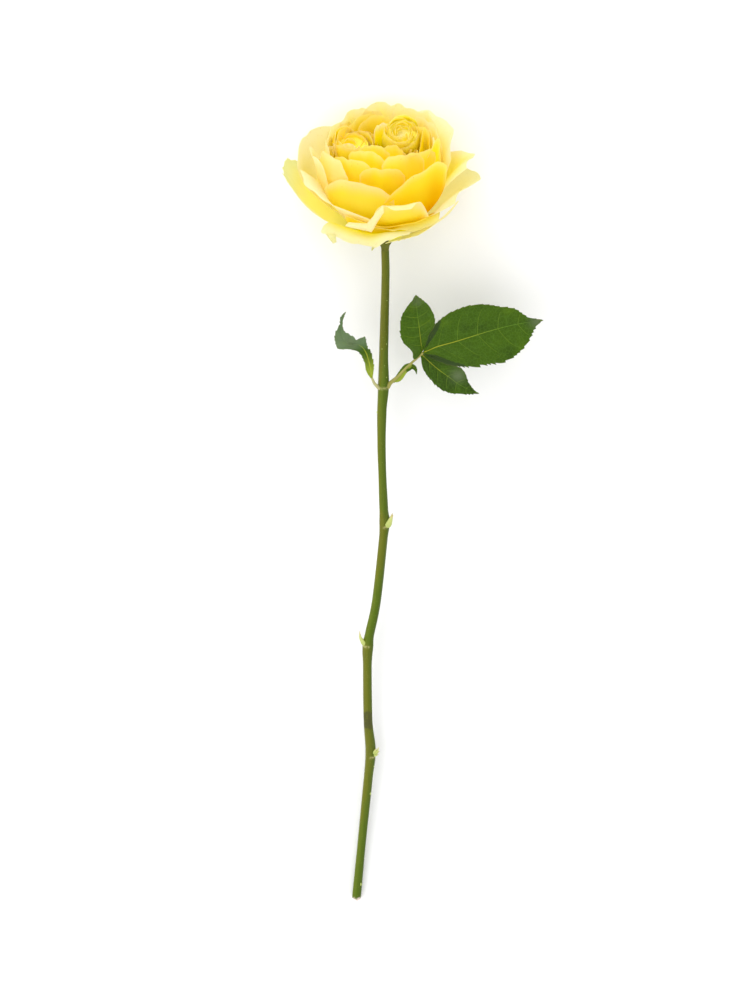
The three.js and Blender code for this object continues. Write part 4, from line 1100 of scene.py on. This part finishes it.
def leaf_material():
    s = Shader("leaf")
    share, along, pale = s.value("share"), s.value("along"), s.value("pale")
    cloud = s.noise(0.10)
    s.ground(s.plus(s.times(s.value("tone"), 0.35), cloud), (0.2, (0.030, 0.070, 0.001)),
             (0.5, (0.047, 0.106, 0.001)), (0.8, (0.068, 0.138, 0.001)))
    cells = s.node("ShaderNodeTexVoronoi", {"Vector": s.value("grain", "Vector"), "Scale": 0.62},
                   feature="DISTANCE_TO_EDGE").outputs["Distance"]
    net = s.step(cells, 0.10, 0.02)
    s.coat((0.13, 0.27, 0.03), net, 0.22)
    off = s.math("FRACT", s.plus(s.value("phase"), 0.5))
    off = s.times(s.math("ABSOLUTE", s.math("SUBTRACT", off, 0.5)), s.value("pitch"))
    side_vein = s.times(s.step(off, 0.22, 0.06), s.step(share, 0.96, 0.55))
    s.coat((0.17, 0.29, 0.02), side_vein, 0.6)
    rib_color = s.mix(s.step(along, 0.75, 0.15), (0.16, 0.32, 0.03), (0.46, 0.46, 0.03))
    s.coat(rib_color, s.step(s.value("rib"), 1.15, 0.75), 0.9)
    in_shade, painted_sheen_color, dry_rim = (0.022, 0.040, 0.012), (0.13, 0.175, 0.080), (0.30, 0.26, 0.08)
    s.coat(in_shade, s.value("shaded"), 0.75)
    # A greyer green over part of the twisted small leaf
    s.coat(s.mix(cloud, (0.075, 0.150, 0.055), (0.20, 0.27, 0.15)), s.value("under"), 0.85)
    s.coat(s.mix(cloud, (0.28, 0.40, 0.02), (0.46, 0.52, 0.07)), pale, 0.92)
    stalk = s.mix(pale, s.mix(cloud, (0.27, 0.29, 0.05), (0.50, 0.46, 0.14)), (0.62, 0.61, 0.30))
    s.coat(stalk, s.value("stalk"))
    # Painted highlight: paler grey green patches where the leaves would catch the light
    s.coat(painted_sheen_color, s.value("sheen"))
    s.coat(dry_rim, s.step(share, 0.975, 1.0), 0.3)
    s.let_through(s.mix(0.5, s.color, (0.26, 0.46, 0.005)), 0.12)
    s.bump(s.plus(s.times(net, -0.4), s.times(side_vein, -1.0)), 0.00018, 0.7)
    return s.finish(0.36, 0.14)


# The table, the light and the camera

TABLE_REACH = 4.0
WORLD_STRENGTH = 1.11

# As name, place, aim, size and power
LIGHTS = [("key", (-0.7, 1.9, 1.2), (0.0, 0.16, 0.03), 1.2, 12),
          ("fill", (-0.9, -0.3, 1.4), (0, 0, 0), 1.0, 3)]

# How often light bounces on, so that it shines through many petals
BOUNCES = 20

# The eye looks down on the growing rose by this, from this far away
EYE_DOWN = math.radians(17)
EYE_DISTANCE = 1800.0
MM_PER_PIXEL = 0.5
FRAME_HEIGHT = 1000
SENSOR = 36.0
AIM = (-4.65, -136.0, 0.0)
NEAREST, FARTHEST = 0.05, 20.0


def make_table():
    corners = [(x * TABLE_REACH, y * TABLE_REACH, 0) for x, y in ((-1, -1), (1, -1), (1, 1), (-1, 1))]
    mesh = bpy.data.meshes.new("table")
    mesh.from_pydata(corners, [], [(0, 1, 2, 3)])
    s = Shader("table")
    cloud = s.noise(2.0, 2.0, vector=s.node("ShaderNodeNewGeometry", {}).outputs["Position"])
    s.color = s.mix(cloud, (0.95, 0.95, 0.95), (0.97, 0.97, 0.97))
    mesh.materials.append(s.finish(0.9, 0.1))
    add_object("table", mesh)


def make_camera():
    data = bpy.data.cameras.new("camera")
    data.sensor_width = SENSOR
    data.lens = SENSOR * EYE_DISTANCE / (MM_PER_PIXEL * FRAME_HEIGHT)
    data.clip_start, data.clip_end = NEAREST, FARTHEST
    c, s = math.cos(EYE_DOWN), math.sin(EYE_DOWN)
    right, up, near = turned(np.array([(1, 0, 0), (0, c, -s), (0, s, c)]), LYING_PITCH)
    place = to_world(np.array(AIM)) + near * EYE_DISTANCE * MM
    camera = add_object("camera", data)
    turn = Matrix(np.stack([right, up, near], 1).tolist())
    camera.matrix_world = Matrix.Translation(place) @ turn.to_4x4()
    bpy.context.scene.camera = camera


def area_light(name, place, aim, size, power):
    data = bpy.data.lights.new(name, "AREA")
    data.shape, data.size, data.energy = "DISK", size, power
    light = add_object(name, data)
    light.location = place
    light.rotation_euler = (Vector(aim) - Vector(place)).to_track_quat("-Z", "Y").to_euler()


def make_light():
    scene = bpy.context.scene
    scene.world = bpy.data.worlds.new("studio")
    scene.world.use_nodes = True
    background = scene.world.node_tree.nodes["Background"]
    background.inputs["Color"].default_value = (1, 1, 1, 1)
    background.inputs["Strength"].default_value = WORLD_STRENGTH
    for light in LIGHTS:
        area_light(*light)
    scene.view_settings.view_transform = "Standard"
    scene.cycles.max_bounces = BOUNCES
    scene.cycles.diffuse_bounces = BOUNCES
    scene.cycles.transmission_bounces = BOUNCES


make_camera()
make_light()
make_table()
make_bloom(petal_material())
make_calyx(calyx_material())
make_stem(stem_material())
make_buds(bud_material())
make_leaves(leaf_material())
